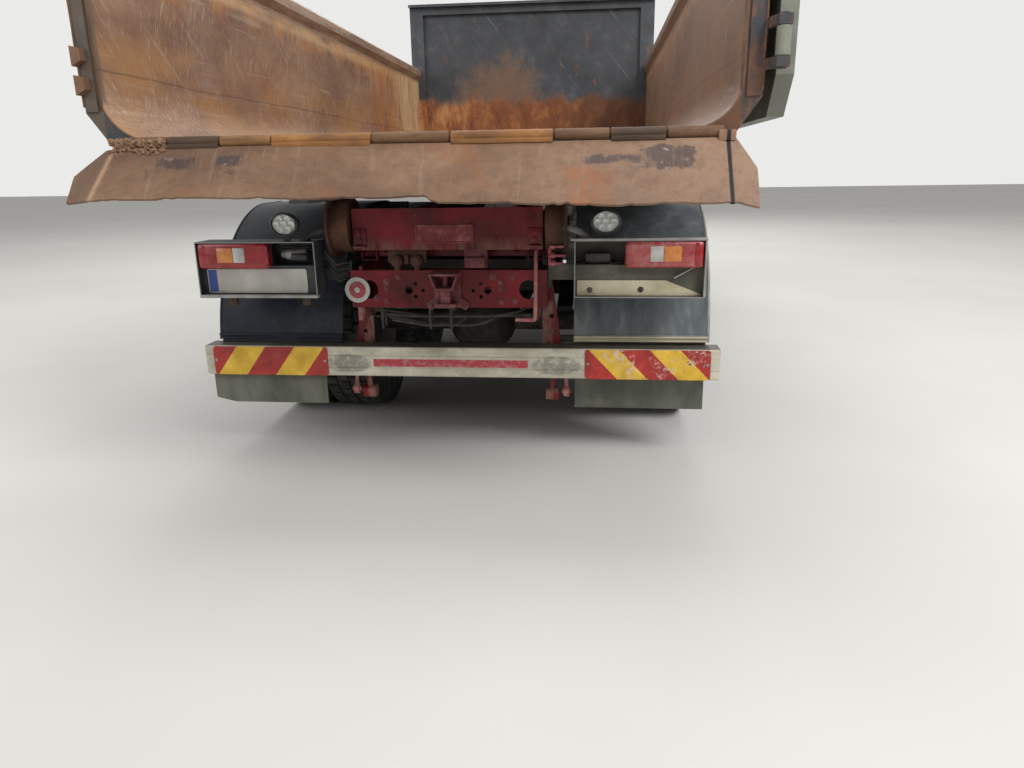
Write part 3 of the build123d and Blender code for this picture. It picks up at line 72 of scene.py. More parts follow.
# What each word for a node stands for: the node, a setting, its inputs with their usual values, its output
NODES = {"coordinates": ("TexCoord", {}, {}, "Object"), "surface": ("NewGeometry", {}, {}, "Normal"),
         "rays": ("LightPath", {}, {}, "Is Camera Ray"), "x": ("SeparateXYZ", {}, {"Vector": None}, "X"),
         "y": ("SeparateXYZ", {}, {"Vector": None}, "Y"), "z": ("SeparateXYZ", {}, {"Vector": None}, "Z"),
         "stretch": ("Mapping", {}, {"Vector": None, "Scale": (1, 1, 1)}, "Vector"),
         "turn": ("Mapping", {}, {"Vector": None, "Rotation": (0, 0, 0)}, "Vector"),
         "noise": ("TexNoise", {}, {"Vector": None, "Scale": 5.0, "Detail": 6.0, "Roughness": 0.6,
                                    "Distortion": 0.0}, "Fac"),
         "ribs": ("TexWave", {"bands_direction": "X"}, {"Vector": None, "Scale": 45.0}, "Fac"),
         "ramp": ("ValToRGB", {}, {"Fac": None}, "Color"),
         "mix": ("Mix", {"data_type": "RGBA"}, {0: None, 6: None, 7: None}, 2),
         "step": ("MapRange", {"interpolation_type": "SMOOTHSTEP"},
                  {"Value": None, "From Min": 0.0, "From Max": 1.0}, "Result"),
         "range": ("MapRange", {}, {"Value": None, "To Min": 0.0, "To Max": 1.0}, "Result"),
         "relief": ("Bump", {}, {"Height": None, "Distance": 0.001, "Strength": 0.6}, "Normal"),
         "plus": ("Math", {"operation": "ADD"}, {0: None, 1: 0.0}, 0),
         "minus": ("Math", {"operation": "SUBTRACT"}, {0: None, 1: 0.0}, 0),
         "times": ("Math", {"operation": "MULTIPLY"}, {0: None, 1: 0.0}, 0),
         "share": ("Math", {"operation": "DIVIDE"}, {0: None, 1: 0.0}, 0),
         "power": ("Math", {"operation": "POWER"}, {0: None, 1: 0.0}, 0),
         "root": ("Math", {"operation": "SQRT"}, {0: None, 1: 0.0}, 0),
         "unsigned": ("Math", {"operation": "ABSOLUTE"}, {0: None, 1: 0.0}, 0),
         "fraction": ("Math", {"operation": "FRACT"}, {0: None, 1: 0.0}, 0),
         "larger": ("Math", {"operation": "MAXIMUM"}, {0: None, 1: 0.0}, 0),
         "above": ("Math", {"operation": "GREATER_THAN"}, {0: None, 1: 0.0}, 0), }


def fill(tree, node, inputs):
    """Fills a node's inputs: an output is linked, a hex string becomes a colour, anything else is set."""
    for socket, value in inputs.items():
        if isinstance(value, bpy.types.NodeSocket):
            tree.links.new(value, node.inputs[socket])
        elif value is not None:
            node.inputs[socket].default_value = linear(value) if isinstance(value, str) else value


def add_node(tree, word, *values, stops=(), **settings):
    """Adds the node that word stands for, with its settings and links, and gives its output; stops are a
    ramp's places and colours."""
    kind, usual_settings, usual_inputs, output = NODES[word]
    node = tree.nodes.new("ShaderNode" + kind)
    for key, value in {**usual_settings, **settings}.items():
        setattr(node, key, value)
    fill(tree, node, {**usual_inputs, **dict(zip(usual_inputs, values))})
    if stops:
        elements = node.color_ramp.elements
        while len(elements) < len(stops):
            elements.new(0.5)
        for element, (at, colour) in zip(elements, stops):
            element.position = at
            element.color = linear(colour)
    return node.outputs[output]


def start_material(name, roughness=0.5, metallic=0.0, more=None):
    """A new material, its object coordinates in metres, and the function that adds a node to it."""
    material = bpy.data.materials.new(name)
    material.use_nodes = True
    tree = material.node_tree
    fill(tree, tree.nodes["Principled BSDF"], {"Roughness": roughness, "Metallic": metallic, **(more or {})})
    add = partial(add_node, tree)
    return material, add("coordinates"), add


def patches(add, place, low, high, scale, detail=6.0, rough=0.6, stretch=None, distort=0.0):
    """A mask of soft-edged patches about 1/scale metres across, 0 where the noise is under low, 1 over
    high."""
    if stretch:
        place = add("stretch", place, stretch)
    return add("step", add("noise", place, scale, detail, rough, distort), low, high)


def layer(add, base, mask, strength, colour):
    """The base with a colour laid over it where the mask is up."""
    return add("mix", add("times", mask, strength), base, colour)


def dressed(material, add, colour, gloss=None, low=0.4, high=0.8, height=None, depth=0.001, strength=0.6):
    """Ends a material: its colour, its roughness from low to high as gloss rises, and relief of a real
    depth."""
    tree = material.node_tree
    fill(tree, tree.nodes["Principled BSDF"], {
        "Base Color": colour,
        "Roughness": None if gloss is None else add("range", gloss, low, high),
        "Normal": None if height is None else add("relief", height, depth, strength)})
    return material


# Materials

def tub_steel():
    """Hot-rolled wear plate, scoured by gravel: brown rust under long pale scratches that run with the load.

    Outside the trough's skin the same plate still wears its blue-grey enamel, broken by rust."""
    material, place, add = start_material("gravel-scoured wear plate", 0.62, 0.1)
    cloud = add("noise", add("stretch", place, (1, 0.45, 1)), 1.9, 9, 0.68, 0.1)
    base = add("ramp", cloud, stops=[(0.28, "563E31"), (0.42, "775846"), (0.55, "927159"), (0.72, "B0907A")])
    rust = patches(add, place, 0.52, 0.68, 3.1, 9, 0.72, (0.7, 0.4, 1.3), 0.25)
    base = layer(add, base, rust, 0.55, "8E5A34")
    height = add("z", place)
    rail = add("step", height, 2.27, 2.31)
    rail_tone = add("mix", patches(add, place, 0.42, 0.62, 11, 7, 0.7, (1, 0.12, 1)), "846A59", "B39A84")
    base = layer(add, base, rail, 0.75, rail_tone)
    under_rail = add("times", add("step", height, 2.1, 2.25), add("minus", 1.0, rail))
    base = layer(add, base, under_rail, patches(add, place, 0.36, 0.62, 5, 7), "B07A48")
    rubbed = add("times", add("step", height, 2.2, 2.255), add("minus", 1.0, rail))
    base = layer(add, base, rubbed, add("times", patches(add, place, 0.34, 0.6, 7, 6, 0.7, (1, 0.2, 1)),
                                        0.65), "D6B68C")
    golden = add("times", add("step", height, 2.02, 1.86),
                 patches(add, place, 0.42, 0.62, 3.4, 8, 0.7, (1, 0.5, 1)))
    base = layer(add, base, golden, 0.6, "A87B48")
    haze = add("times", patches(add, place, 0.5, 0.62, 0.9, 5), patches(add, place, 0.4, 0.6, 30, 5, 0.75))
    base = layer(add, base, haze, 0.4, "9A8A80")
    # bleached, rust-edged streaks below the rail towards the front wall
    front = add("times", add("step", add("y", place), -1.6, 1.2), add("step", height, 1.95, 2.2))
    bleached = patches(add, place, 0.47, 0.6, 13, 7, 0.75, (1, 1, 0.14))
    base = layer(add, base, add("times", front, bleached), add("minus", 1.0, rail), "C9A273")
    # beside the front wall the left wall is rubbed cream, with an orange edge to the rest
    beside = add("times", add("step", add("x", place), 0.2, -0.4), add("minus", 1.0, rail))
    reach_on = add("plus", add("y", place),
                   add("times", add("noise", add("stretch", place, (1, 0.5, 0.4)), 7, 8, 0.75), 0.7))
    orange = add("times", add("step", reach_on, -0.2, 0.5),
                 patches(add, place, 0.36, 0.6, 12, 7, 0.75, (1, 1, 0.3)))
    base = layer(add, base, add("times", orange, beside), 0.7, "B5743F")
    cream = add("times", add("step", reach_on, 0.55, 1.3),
                patches(add, place, 0.34, 0.56, 19, 6, 0.7, (1, 1, 0.16)))
    base = layer(add, base, add("times", cream, beside), 0.8, "E0C79C")
    # gravel scores: long ones with the load, slanting ones from the loader's bucket
    slanted = add("turn", place, (0.62, 0, 0))
    scores = add("times", patches(add, slanted, 0.6, 0.68, 44, 4, 0.6, (1, 0.05, 1)),
                 patches(add, place, 0.45, 0.6, 1.4, 3))
    base = layer(add, base, scores, 0.3, "BCA88E")
    # fine crossing scratches in patches, a few millimetres wide so that they show
    for lean in (0.95, -1.15):
        turned = add("turn", place, (lean, 0, 0))
        fine = add("times", patches(add, turned, 0.53, 0.66, 100, 4, 0.7, (1, 0.11, 1)),
                   patches(add, turned, 0.44, 0.62, 1.7, 4))
        base = layer(add, base, fine, 0.42, "CBB79D")
    drag = add("noise", add("stretch", place, (1, 0.035, 1)), 26, 5, 0.7)
    pale = add("step", drag, 0.55, 0.68)
    pale = add("times", pale, patches(add, place, 0.42, 0.62, 2.2, 4))
    base = layer(add, base, pale, 0.55, "B39F86")
    line = add("plus", height, add("times", add("noise", place, 1.5, 5), 0.045))
    crease = add("times", add("step", line, 1.809, 1.812), add("step", line, 1.82, 1.816))
    base = layer(add, base, crease, 0.42, "3E2C22")
    upright = add("noise", add("stretch", place, (1, 1, 0.08)), 19, 6, 0.7)
    base = layer(add, base, add("step", upright, 0.56, 0.7), 0.35, "A48B72")
    grime = patches(add, place, 0.6, 0.75, 7, 7, 0.7)
    base = layer(add, base, grime, 0.55, "3A2A21")
    # distance from the centre of the trough's round corner tells inside from outside
    across = add("larger", add("minus", add("unsigned", add("x", place)), 0.985), 0.0)
    down = add("larger", add("minus", 1.73, height), 0.0)
    reach = add("root", add("plus", add("power", across, 2.0), add("power", down, 2.0)))
    worn = patches(add, place, 0.46, 0.6, 4.5, 9, 0.72, (1, 1, 0.5), 0.5)
    enamel = add("ramp", add("noise", place, 6), stops=[(0.3, "2B3034"), (0.6, "3E444A"), (0.75, "545A5E")])
    enamel = add("mix", worn, enamel, add("mix", add("noise", place, 12), "54392A", "7A5136"))
    outside = add("times", add("step", reach, 0.192, 0.197), add("minus", 1.0, rail))
    base = add("mix", outside, base, enamel)
    # the rear posts are dusty grey-brown, the lugs on the left one bare rust
    aside = add("unsigned", add("x", place))
    post = add("times", add("step", add("y", place), BED_REAR + 0.05, BED_REAR + 0.03),
               add("step", aside, 1.162, 1.17))
    left_post = add("mix", add("noise", place, 15, 7, 0.7), "3E3832", "6E655A")
    right_post = add("mix", patches(add, place, 0.42, 0.58, 8, 8, 0.75, (1, 1, 0.5)), "3A3D41", "7C5541")
    either = add("mix", add("step", add("x", place), -0.1, 0.1), left_post, right_post)
    base = layer(add, base, post, 0.75, either)
    lugs = add("times", add("step", add("y", place), BED_REAR - 0.012, BED_REAR - 0.02),
               add("step", add("x", place), -1.0, -1.1))
    base = add("mix", lugs, base, add("mix", add("noise", place, 22), "5E4232", "8A6850"))
    # the right wall is a duller grey-brown: partly weathering, partly painted shade
    dull = add("times", add("step", add("x", place), 0.75, 1.05), add("minus", 1.0, outside))
    base = layer(add, base, dull, 0.45, "6A5850")
    return dressed(material, add, base, pale, 0.66, 0.42,
                   add("noise", add("stretch", place, (1, 0.25, 1)), 18, 8, 0.65), 0.003, 0.5)


def front_wall_paint():
    """Blue-grey enamel on plate: rusted through in orange clouds over its lower half."""
    material, place, add = start_material("blue-grey enamel over rust", 0.5)
    ragged = add("times", add("noise", add("stretch", place, (1, 1, 0.8)), 2.6, 9, 0.66, 0.9), 0.5)
    edge = add("plus", add("z", place), ragged)
    rust = add("step", edge, 2.42, 2.3)
    paint = add("ramp", add("noise", place, 5, 7, 0.65),
                stops=[(0.3, "2C3034"), (0.55, "3B4046"), (0.72, "50555A")])
    # a brown patch above the rust, left of the middle where loads have struck, and rust veins beside it
    along, height = add("x", place), add("z", place)
    reach = [add("power", add("unsigned", add("share", add("minus", a, b), c)), 2.0)
             for a, b, c in ((along, -0.3, 0.62), (height, 2.08, 0.6))]
    blob = add("minus", 1.0, add("plus", *reach))
    cloud = add("plus", add("noise", add("stretch", place, (1, 1, 0.6)), 3.6, 10, 0.78),
                add("times", blob, 0.4))
    paint = layer(add, paint, add("step", cloud, 0.58, 0.86), 0.85,
                  add("mix", add("noise", place, 22, 7, 0.7), "5C4636", "836650"))
    veins = add("times", patches(add, place, 0.56, 0.66, 8.5, 8, 0.8, (1, 1, 0.42), 0.5),
                add("step", edge, 3.15, 2.75))
    paint = layer(add, paint, veins, 0.75, "84532F")
    pale = patches(add, add("turn", place, (0, 0.7, 0)), 0.65, 0.69, 36, 3, 0.5, (1, 1, 0.04))
    paint = layer(add, paint, pale, 0.28, "7E8084")
    scratch = patches(add, place, 0.64, 0.7, 42, 4, 0.6, (1, 1, 0.1))
    paint = layer(add, paint, scratch, 0.6, "7A5038")
    orange = add("ramp", add("noise", add("stretch", place, (1, 1, 0.6)), 7, 9, 0.75),
                 stops=[(0.3, "55331F"), (0.5, "804B2B"), (0.64, "A06B40"), (0.8, "C49A6C")])
    # painted shadow: the rust darkens towards the right, where the right side wall's shadow falls
    orange = layer(add, orange, add("step", along, 0.05, 0.85), 0.6, "452D22")
    # painted sunlight: the rust is brighter on the left
    sunlit_left = add("times", add("step", along, -0.25, -1.0),
                 patches(add, place, 0.4, 0.62, 9, 7, 0.75, (1, 1, 0.35)))
    orange = layer(add, orange, sunlit_left, 0.6, "CE9A66")
    base = add("mix", rust, paint, orange)
    specks = patches(add, place, 0.66, 0.7, 60, 3)
    base = layer(add, base, specks, 0.5, "8B4B26")
    return dressed(material, add, base, rust, 0.42, 0.78, add("noise", place, 40, 6, 0.7), 0.0015, 0.4)


def outer_plate():
    """Weathered grey enamel on the tub's outside: dusty, with rust along the edges and runs below the
    welds."""
    material, place, add = start_material("weathered grey tub enamel", 0.55)
    cloud = add("noise", place, 2.2, 7)
    paint = add("ramp", cloud, stops=[(0.3, "35383A"), (0.5, "474A4C"), (0.7, "5C5E5E")])
    runs = patches(add, place, 0.58, 0.7, 9, 6, 0.65, (1, 1, 0.12), 0.4)
    base = add("mix", runs, paint, "7A4A2C")
    chips = patches(add, place, 0.63, 0.68, 21, 9, 0.75)
    base = add("mix", chips, base, "6A3B20")
    dust = add("step", add("z", add("surface")), 0.3, 0.9)
    base = layer(add, base, dust, 0.6, "8F8576")
    return dressed(material, add, base, chips, 0.5, 0.8, chips, -0.0008, 0.5)


def flap_steel():
    """Thick wear plate folded down behind the hinge row: purple-brown rust with oily dark smears and
    dents."""
    material, place, add = start_material("rusted folded flap plate", 0.6, 0.1)
    cloud = add("noise", add("stretch", place, (0.6, 1, 1.2)), 2.4, 9, 0.7, 0.15)
    base = add("ramp", cloud, stops=[(0.3, "533B2C"), (0.45, "6B4F3B"), (0.58, "7F6149"), (0.75, "96795D")])
    base = add("mix", add("step", add("x", place), 0.2, 1.2), base, add("mix", cloud, "705646", "A8886F"))
    mottle = patches(add, place, 0.46, 0.62, 17, 9, 0.8)
    base = layer(add, base, mottle, 0.4, "5C4233")
    # oily smears with short upright strokes in them, each with its ends in X and Z
    along, height = add("x", place), add("z", place)
    ragged = add("noise", place, 16, 5, 0.7)
    ragged_x = add("plus", along, add("times", add("minus", ragged, 0.5), 0.16))
    ragged_z = add("plus", height, add("times", add("minus", add("noise", place, 23, 5, 0.7), 0.5), 0.07))
    belt = 0.0
    for x0, x1, z0, z1 in ((-0.94, -0.78, 1.432, 1.475), (-0.72, -0.585, 1.437, 1.487),
                           (-0.68, -0.6, 1.405, 1.432), (-0.985, -0.945, 1.395, 1.432),
                           (0.6, 0.85, 1.425, 1.458), (0.82, 1.02, 1.405, 1.492)):
        box = add("times", add("times", add("step", ragged_x, x0, x0 + 0.025),
                               add("step", ragged_x, x1, x1 - 0.025)),
                  add("times", add("step", ragged_z, z0, z0 + 0.012), add("step", ragged_z, z1, z1 - 0.012)))
        belt = add("larger", box, belt)
    blot = patches(add, place, 0.34, 0.46, 9, 6, 0.7, (0.8, 1, 1.6), 0.2)
    dark = add("times", add("times", belt, blot), patches(add, place, 0.3, 0.5, 42, 4, 0.6, (1, 0.3, 0.15)))
    base = layer(add, base, dark, 0.85, "3A2A29")
    # the pale marks in the smears are partly pale streaks, partly painted highlights on the oil
    pale = add("times", belt, patches(add, place, 0.57, 0.64, 13, 5, 0.6, (1, 1, 1.4)))
    base = layer(add, base, pale, 0.6, "B5A798")
    grit = patches(add, place, 0.6, 0.72, 55, 5, 0.7)
    base = layer(add, base, grit, 0.3, "9F8873")
    orange = patches(add, place, 0.56, 0.68, 2.9, 8, 0.7)
    base = layer(add, base, orange, 0.5, "874E2C")
    fresh = add("times", add("step", along, 0.53, 0.6), add("step", along, 0.76, 0.68))
    fresh = add("times", add("times", fresh, add("step", height, 1.44, 1.4)),
                patches(add, place, 0.42, 0.56, 7, 8, 0.75))
    base = layer(add, base, fresh, 0.55, "96592F")
    # painted shade: a near-black line down the right wing's groove
    groove = add("step", add("unsigned", add("minus", along, 1.121)), 0.009, 0.005)
    base = add("mix", groove, base, "0F0B09")
    # the left wing is darker beyond its fold, and a pale band along the fold is a painted highlight
    beyond = add("minus", add("plus", -1.115, add("times", add("minus", height, 1.503), 0.176)), along)
    base = layer(add, base, add("step", beyond, 0.0, 0.02), 0.35, "5E4434")
    rubbed = add("step", add("unsigned", beyond), 0.02, 0.0)
    base = layer(add, base, rubbed, add("plus", 0.25, add("times", add("noise", place, 30, 5), 0.6)),
                 "C09C7C")
    upright = patches(add, place, 0.55, 0.68, 24, 5, 0.7, (1, 0.08, 0.08))
    base = layer(add, base, upright, 0.2, "A99482")
    return dressed(material, add, base, dark, 0.66, 0.45, add("noise", place, 9, 9, 0.66), 0.006, 0.5)


def barrel_steel(name, stops, polish):
    """Hinge barrel steel: each length has weathered its own way."""
    material, place, add = start_material(name, 0.55, 0.1)
    cloud = add("noise", add("stretch", place, (0.5, 1, 1)), 9, 8, 0.72)
    base = add("ramp", cloud, stops=stops)
    wear = patches(add, place, 0.52, 0.66, 40, 6, 0.7, (0.15, 1, 1))
    base = layer(add, base, wear, 0.45, "2B1F17")
    return dressed(material, add, base, cloud, polish, polish + 0.25, add("noise", place, 70, 5, 0.7), 0.001,
                   0.4)


def red_frame_paint():
    """Oxide-red enamel of the hook lift: dust on the ledges, chipped to primer and rust at the edges."""
    material, place, add = start_material("oxide-red frame enamel", 0.42, more={"Specular IOR Level": 0.3})
    cloud = add("noise", place, 5)
    paint = add("ramp", cloud, stops=[(0.3, "44060C"), (0.5, "660913"), (0.7, "82111E")])
    chips = patches(add, place, 0.66, 0.7, 24, 9, 0.75)
    base = layer(add, paint, chips, 0.7, "7A6660")
    grime = patches(add, place, 0.5, 0.72, 6, 7, 0.7, (1, 1, 0.5))
    base = layer(add, base, grime, 0.55, "200E0D")
    dust = add("times", add("step", add("z", add("surface")), 0.2, 0.9), patches(add, place, 0.35, 0.6, 11))
    base = layer(add, base, dust, 0.75, "85766A")
    # splashed soil along the upper beam's foot
    height = add("z", place)
    splash = add("times", add("step", height, 1.13, 1.07), add("step", height, 1.055, 1.062))
    splash = add("times", splash, patches(add, place, 0.4, 0.6, 26, 7, 0.75, (1, 1, 0.3)))
    base = layer(add, base, splash, 0.6, "7A5A4C")
    # the inner half of each leg below the beam is brown with dried mud
    leg = add("times", add("step", height, 0.8, 0.78),
              add("step", add("unsigned", add("x", place)), 0.485, 0.465))
    leg = add("times", leg, patches(add, place, 0.34, 0.55, 18, 7, 0.7, (1, 1, 0.3)))
    leg = add("times", leg, add("step", add("y", place), BEAM + 0.6, BEAM + 0.5))
    base = layer(add, base, leg, 0.8, "8C6C5E")
    return dressed(material, add, base, grime, 0.38, 0.75, chips, -0.0006, 0.5)


def guard_plastic():
    """Moulded black polyethylene with dust in streaks and a film on top; the left guard is painted navy as
    shade with the sky's reflection, the right one painted grey as sunlit.
    """
    material, place, add = start_material("dusty black polyethylene", 0.55, more={"Specular IOR Level": 0.28})
    streak = add("noise", add("stretch", place, (1, 1, 0.12)), 12, 6, 0.65)
    # painted light: the left guard's navy is shade with the sky's reflection, the right guard's grey is
    # sunlight on the same plastic
    plastic = add("ramp", streak, stops=[(0.3, "080E18"), (0.55, "0E1725"), (0.75, "1A2434")])
    right = add("step", add("x", place), -0.1, 0.1)
    plastic = add("mix", right, plastic,
                  add("ramp", streak, stops=[(0.3, "494E51"), (0.55, "646A6D"), (0.75, "8A8F90")]))
    film = add("noise", place, 3.2, 8, 0.66)
    dust = add("plus", add("times", add("step", add("z", add("surface")), 0.3, 1.0), 0.15),
               add("times", add("step", film, 0.46, 0.74), 0.2), use_clamp=True)
    # the pale dust on the lip shows on the right guard only; the left lip is kept dark as painted shade
    lip = add("times", add("step", add("z", place), 0.635, 0.63),
              add("step", add("y", place), BEAM + 0.13, BEAM + 0.1))
    base = add("mix", dust, plastic, "666A6E")
    base = layer(add, base, lip, add("times", right, 0.8), "B4AE9B")
    return dressed(material, add, base, dust, 0.42, 0.9, add("noise", place, 160, 4), 0.0006, 0.3)


def tyre_rubber():
    """Vulcanised tyre rubber: matt, greyed with ground-in stone dust."""
    material, place, add = start_material("road-dusted tyre rubber", 0.85, more={"IOR": 1.52})
    cloud = add("noise", place, 14, 7, 0.66)
    base = add("ramp", cloud, stops=[(0.32, "1C1C1D"), (0.52, "2B2A29"), (0.72, "5B564F")])
    return dressed(material, add, base, cloud, 0.78, 0.95, add("noise", place, 90, 5), 0.001, 0.35)


def plain_finish(name, dark, mid, light, roughness, metallic=0.0, scale=8.0, depth=0.0006, dust=0.0,
                 dust_colour="8A8276", stretch=None):
    """A finish with mild cloudiness between three shades and settled dust on what faces up."""
    material, place, add = start_material(name, roughness, metallic)
    cloud = add("noise", add("stretch", place, stretch) if stretch else place, scale, 7, 0.64)
    base = add("ramp", cloud, stops=[(0.3, dark), (0.52, mid), (0.74, light)])
    gloss, dulling = cloud, 0.12
    if dust:
        settled = add("times", add("step", add("z", add("surface")), -0.2, 0.95),
                      patches(add, place, 0.3, 0.65, 4))
        splashed = patches(add, place, 0.5, 0.75, 6, 8, 0.7)
        gloss = add("plus", add("times", settled, dust), add("times", splashed, dust * 0.7), use_clamp=True)
        base = add("mix", gloss, base, dust_colour)
        dulling = 0.3
    grain = add("noise", place, scale * 9, 5)
    return dressed(material, add, base, gloss, roughness, min(1.0, roughness + dulling), grain, depth, 0.4)


def glass(name, tint):
    """Toughened glass with a thin film of dust."""
    material, place, add = start_material(name, 0.06, more={"Transmission Weight": 0.9, "IOR": 1.45})
    return dressed(material, add, add("ramp", add("noise", place, 6), stops=[(0.4, tint), (0.8, "C9C4B8")]))


def underrun_finish():
    """Mill-finish aluminium, pale with dried dust, its top face painted dark as shade, with two ovals rubbed
    bare.
    """
    material, place, add = start_material("dusty mill-finish aluminium", 0.6, 0.2)
    cloud = add("noise", add("stretch", place, (1, 1, 1.4)), 6, 8, 0.68)
    base = add("ramp", cloud, stops=[(0.3, "9E9989"), (0.5, "BDB8A6"), (0.7, "D6D1BF")])
    grime = patches(add, place, 0.52, 0.72, 3.5, 8, 0.7, (0.5, 1, 1))
    base = layer(add, base, grime, 0.5, "5A5348")
    # painted shade: the top face by the rear is darkened
    shaded_top_face = add("times", add("step", add("z", add("surface")), 0.6, 0.9),
                   add("step", add("y", place), BEAM + 0.003, BEAM + 0.008))
    base = layer(add, base, shaded_top_face, 0.85, "39352F")
    for x in (-0.53, 0.5):
        dx = add("share", add("minus", add("x", place), x), 0.125)
        dz = add("share", add("minus", add("z", place), 0.5), 0.05)
        far = add("plus", add("times", dx, dx), add("times", dz, dz))
        patch = add("times", add("step", far, 1.1, 0.6), patches(add, place, 0.3, 0.55, 40, 5, 0.7))
        base = layer(add, base, patch, 0.65, "6B6963")
    return dressed(material, add, base, grime, 0.5, 0.85, add("noise", place, 50, 6, 0.65), 0.0008, 0.4)


def marker_sheet(name, lean, start, pitch):
    """Retroreflective marker board: slanting red and yellow bars, scuffed and dusty."""
    material, place, add = start_material(name, 0.35)
    rise = add("times", add("z", place), lean)
    diagonal = add("minus", add("plus", add("x", place), rise), start)
    # red and yellow repeat every pitch from where a yellow bar starts
    phase = add("fraction", add("share", add("plus", diagonal, 100 * pitch), pitch))
    bars = add("above", phase, 0.5)
    yellow = add("ramp", add("noise", place, 12), stops=[(0.35, "C49A22"), (0.6, "E3B93B"), (0.75, "EFCF66")])
    red = add("ramp", add("noise", place, 12), stops=[(0.35, "8E1F1B"), (0.6, "B02B24"), (0.75, "BC4A3F")])
    base = add("mix", bars, yellow, red)
    grime = patches(add, place, 0.55, 0.72, 9, 9, 0.74)
    base = layer(add, base, grime, 0.35, "7A6A5C")
    # the right board, whose bars lean the other way, is the more scuffed one
    if lean > 0:
        scuffs = add("times", patches(add, place, 0.5, 0.58, 34, 9, 0.8),
                     patches(add, place, 0.53, 0.6, 8, 4, 0.6, None, 0.3))
        base = layer(add, base, scuffs, 0.8, "C9BDB2")
        nicks = add("times", patches(add, place, 0.6, 0.64, 46, 6, 0.7), patches(add, place, 0.5, 0.58, 7, 3))
        base = add("mix", nicks, base, "221E1A")
    return dressed(material, add, base, grime, 0.32, 0.8, add("noise", place, 120, 4), 0.0003, 0.3)


def lamp_box_finish():
    """Painted sheet boxes of the lamps: one dusty beige-grey, the left box painted dark grey as shade, pale
    on their bare front edges."""
    material, place, add = start_material("weathered lamp box enamel", 0.5)
    cloud = add("noise", place, 7, 7, 0.66)
    dark = add("ramp", cloud, stops=[(0.3, "1E2022"), (0.55, "34363A"), (0.75, "565A5E")])
    beige = add("ramp", cloud, stops=[(0.3, "39372F"), (0.55, "58554A"), (0.75, "7F7B6C")])
    # painted shade: the left box is the same beige-grey, painted darker
    base = add("mix", add("step", add("x", place), -0.1, 0.1), dark, beige)
    edge = add("step", add("y", place), BEAM - 0.1925, BEAM - 0.194)
    base = layer(add, base, edge, 0.8, "8F938F")
    return dressed(material, add, base, cloud, 0.5, 0.75, add("noise", place, 60, 5), 0.0005, 0.4)


def lamp_lens(name, dark, light, weight=0.25):
    """Moulded acrylic lens with fine ribs and dust in them."""
    material, place, add = start_material(name, 0.18, more={"IOR": 1.49, "Coat Weight": 0.4})
    base = add("ramp", add("noise", place, 16, 7, 0.7), stops=[(0.35, dark), (0.65, light)])
    film = patches(add, place, 0.5, 0.78, 8, 8, 0.7)
    base = layer(add, base, film, weight, "8C8377")
    return dressed(material, add, base, film, 0.14, 0.5, add("ribs", place), 0.0008, 0.35)


TUB = tub_steel()
FRONT_PAINT = front_wall_paint()
OUTER = outer_plate()
FLAP = flap_steel()
RED = red_frame_paint()
GUARD = guard_plastic()
RUBBER = tyre_rubber()
ALUMINIUM = underrun_finish()
MARK_LEFT = marker_sheet("left marker sheet", -0.75, -1.5366, 0.3)
MARK_RIGHT = marker_sheet("right marker sheet", 0.96, 1.2097, 0.288)
LENS_RED = lamp_lens("red acrylic lens", "7A1014", "A81C22")
LENS_AMBER = lamp_lens("amber acrylic lens", "B4601A", "D98A3A")
LENS_CLEAR = lamp_lens("clear acrylic lens", "9A9A96", "C8C8C2")
BARREL_BROWN = barrel_steel("brown hinge barrel", [(0.3, "5C4025"), (0.55, "886137"), (0.75, "A9834C")], 0.5)
BARREL_DARK = barrel_steel("dark hinge barrel", [(0.3, "2B1D12"), (0.55, "4A3320"), (0.75, "70502F")], 0.5)
BARREL_RUST = barrel_steel("golden-rusty hinge barrel", [(0.3, "63401F"), (0.55, "8E5F30"), (0.75, "AE8048")],
                           0.5)
BARREL_GREY = barrel_steel("grey-brown hinge barrel", [(0.3, "49331F"), (0.55, "6C4D34"), (0.75, "8A694C")],
                           0.55)
SOIL = plain_finish("dried soil and straw", "5E4738", "87694F", "A98B70", 0.95, 0.0, 60, 0.003)
STRAW = plain_finish("dry straw", "7A624A", "9C8264", "BCA284", 0.8, 0.0, 30, 0.0003)
CHASSIS = plain_finish("chassis black, road-dusted", "151414", "232120", "3A3632", 0.6, 0.0, 7, 0.0008, 0.45)
CAST = plain_finish("dusty cast iron", "2A2725", "403B37", "5E564E", 0.7, 0.3, 12, 0.0012, 0.45)
RIM_STEEL = plain_finish("silver-grey rim enamel", "5C5A57", "7D7A75", "98948D", 0.5, 0.2, 9, 0.0006, 0.35)
CAB_PAINT = plain_finish("white cab enamel", "B6B5AF", "C3C2BC", "CCCBC5", 0.3, 0.0, 2.5, 0.0002, 0.25,
                         "A0988B")
CAB_PLASTIC = plain_finish("moulded dark grey plastic", "232425", "303132", "434343", 0.6, 0.0, 20, 0.0005,
                           0.3)
INTERIOR = plain_finish("moulded grey cab trim", "38393B", "46474A", "555658", 0.7, 0.0, 30, 0.0005)
TANK_METAL = plain_finish("brushed tank aluminium", "8C8C8A", "A5A5A2", "BBBBB8", 0.35, 0.85, 5, 0.0003, 0.3,
                          stretch=(1, 1, 6))
CHROME = plain_finish("hard-chromed rod", "B4B4B4", "C8C8C8", "D6D6D6", 0.12, 1.0, 4, 0.0001)
LAMP_BLACK = plain_finish("black lamp moulding", "141414", "1F1F1F", "303030", 0.5, 0.0, 16, 0.0005, 0.25)
MUDFLAP = plain_finish("dusty rubber flap", "454740", "5C5F55", "7A7B6E", 0.85, 0.0, 5, 0.001, 0.5, "8C877A",
                       (1, 1, 0.3))
GALVANISED = plain_finish("dull galvanised steel", "7C7D7E", "94959A", "A9AAAD", 0.5, 0.75, 12, 0.0005, 0.4)
BRACKET = lamp_box_finish()
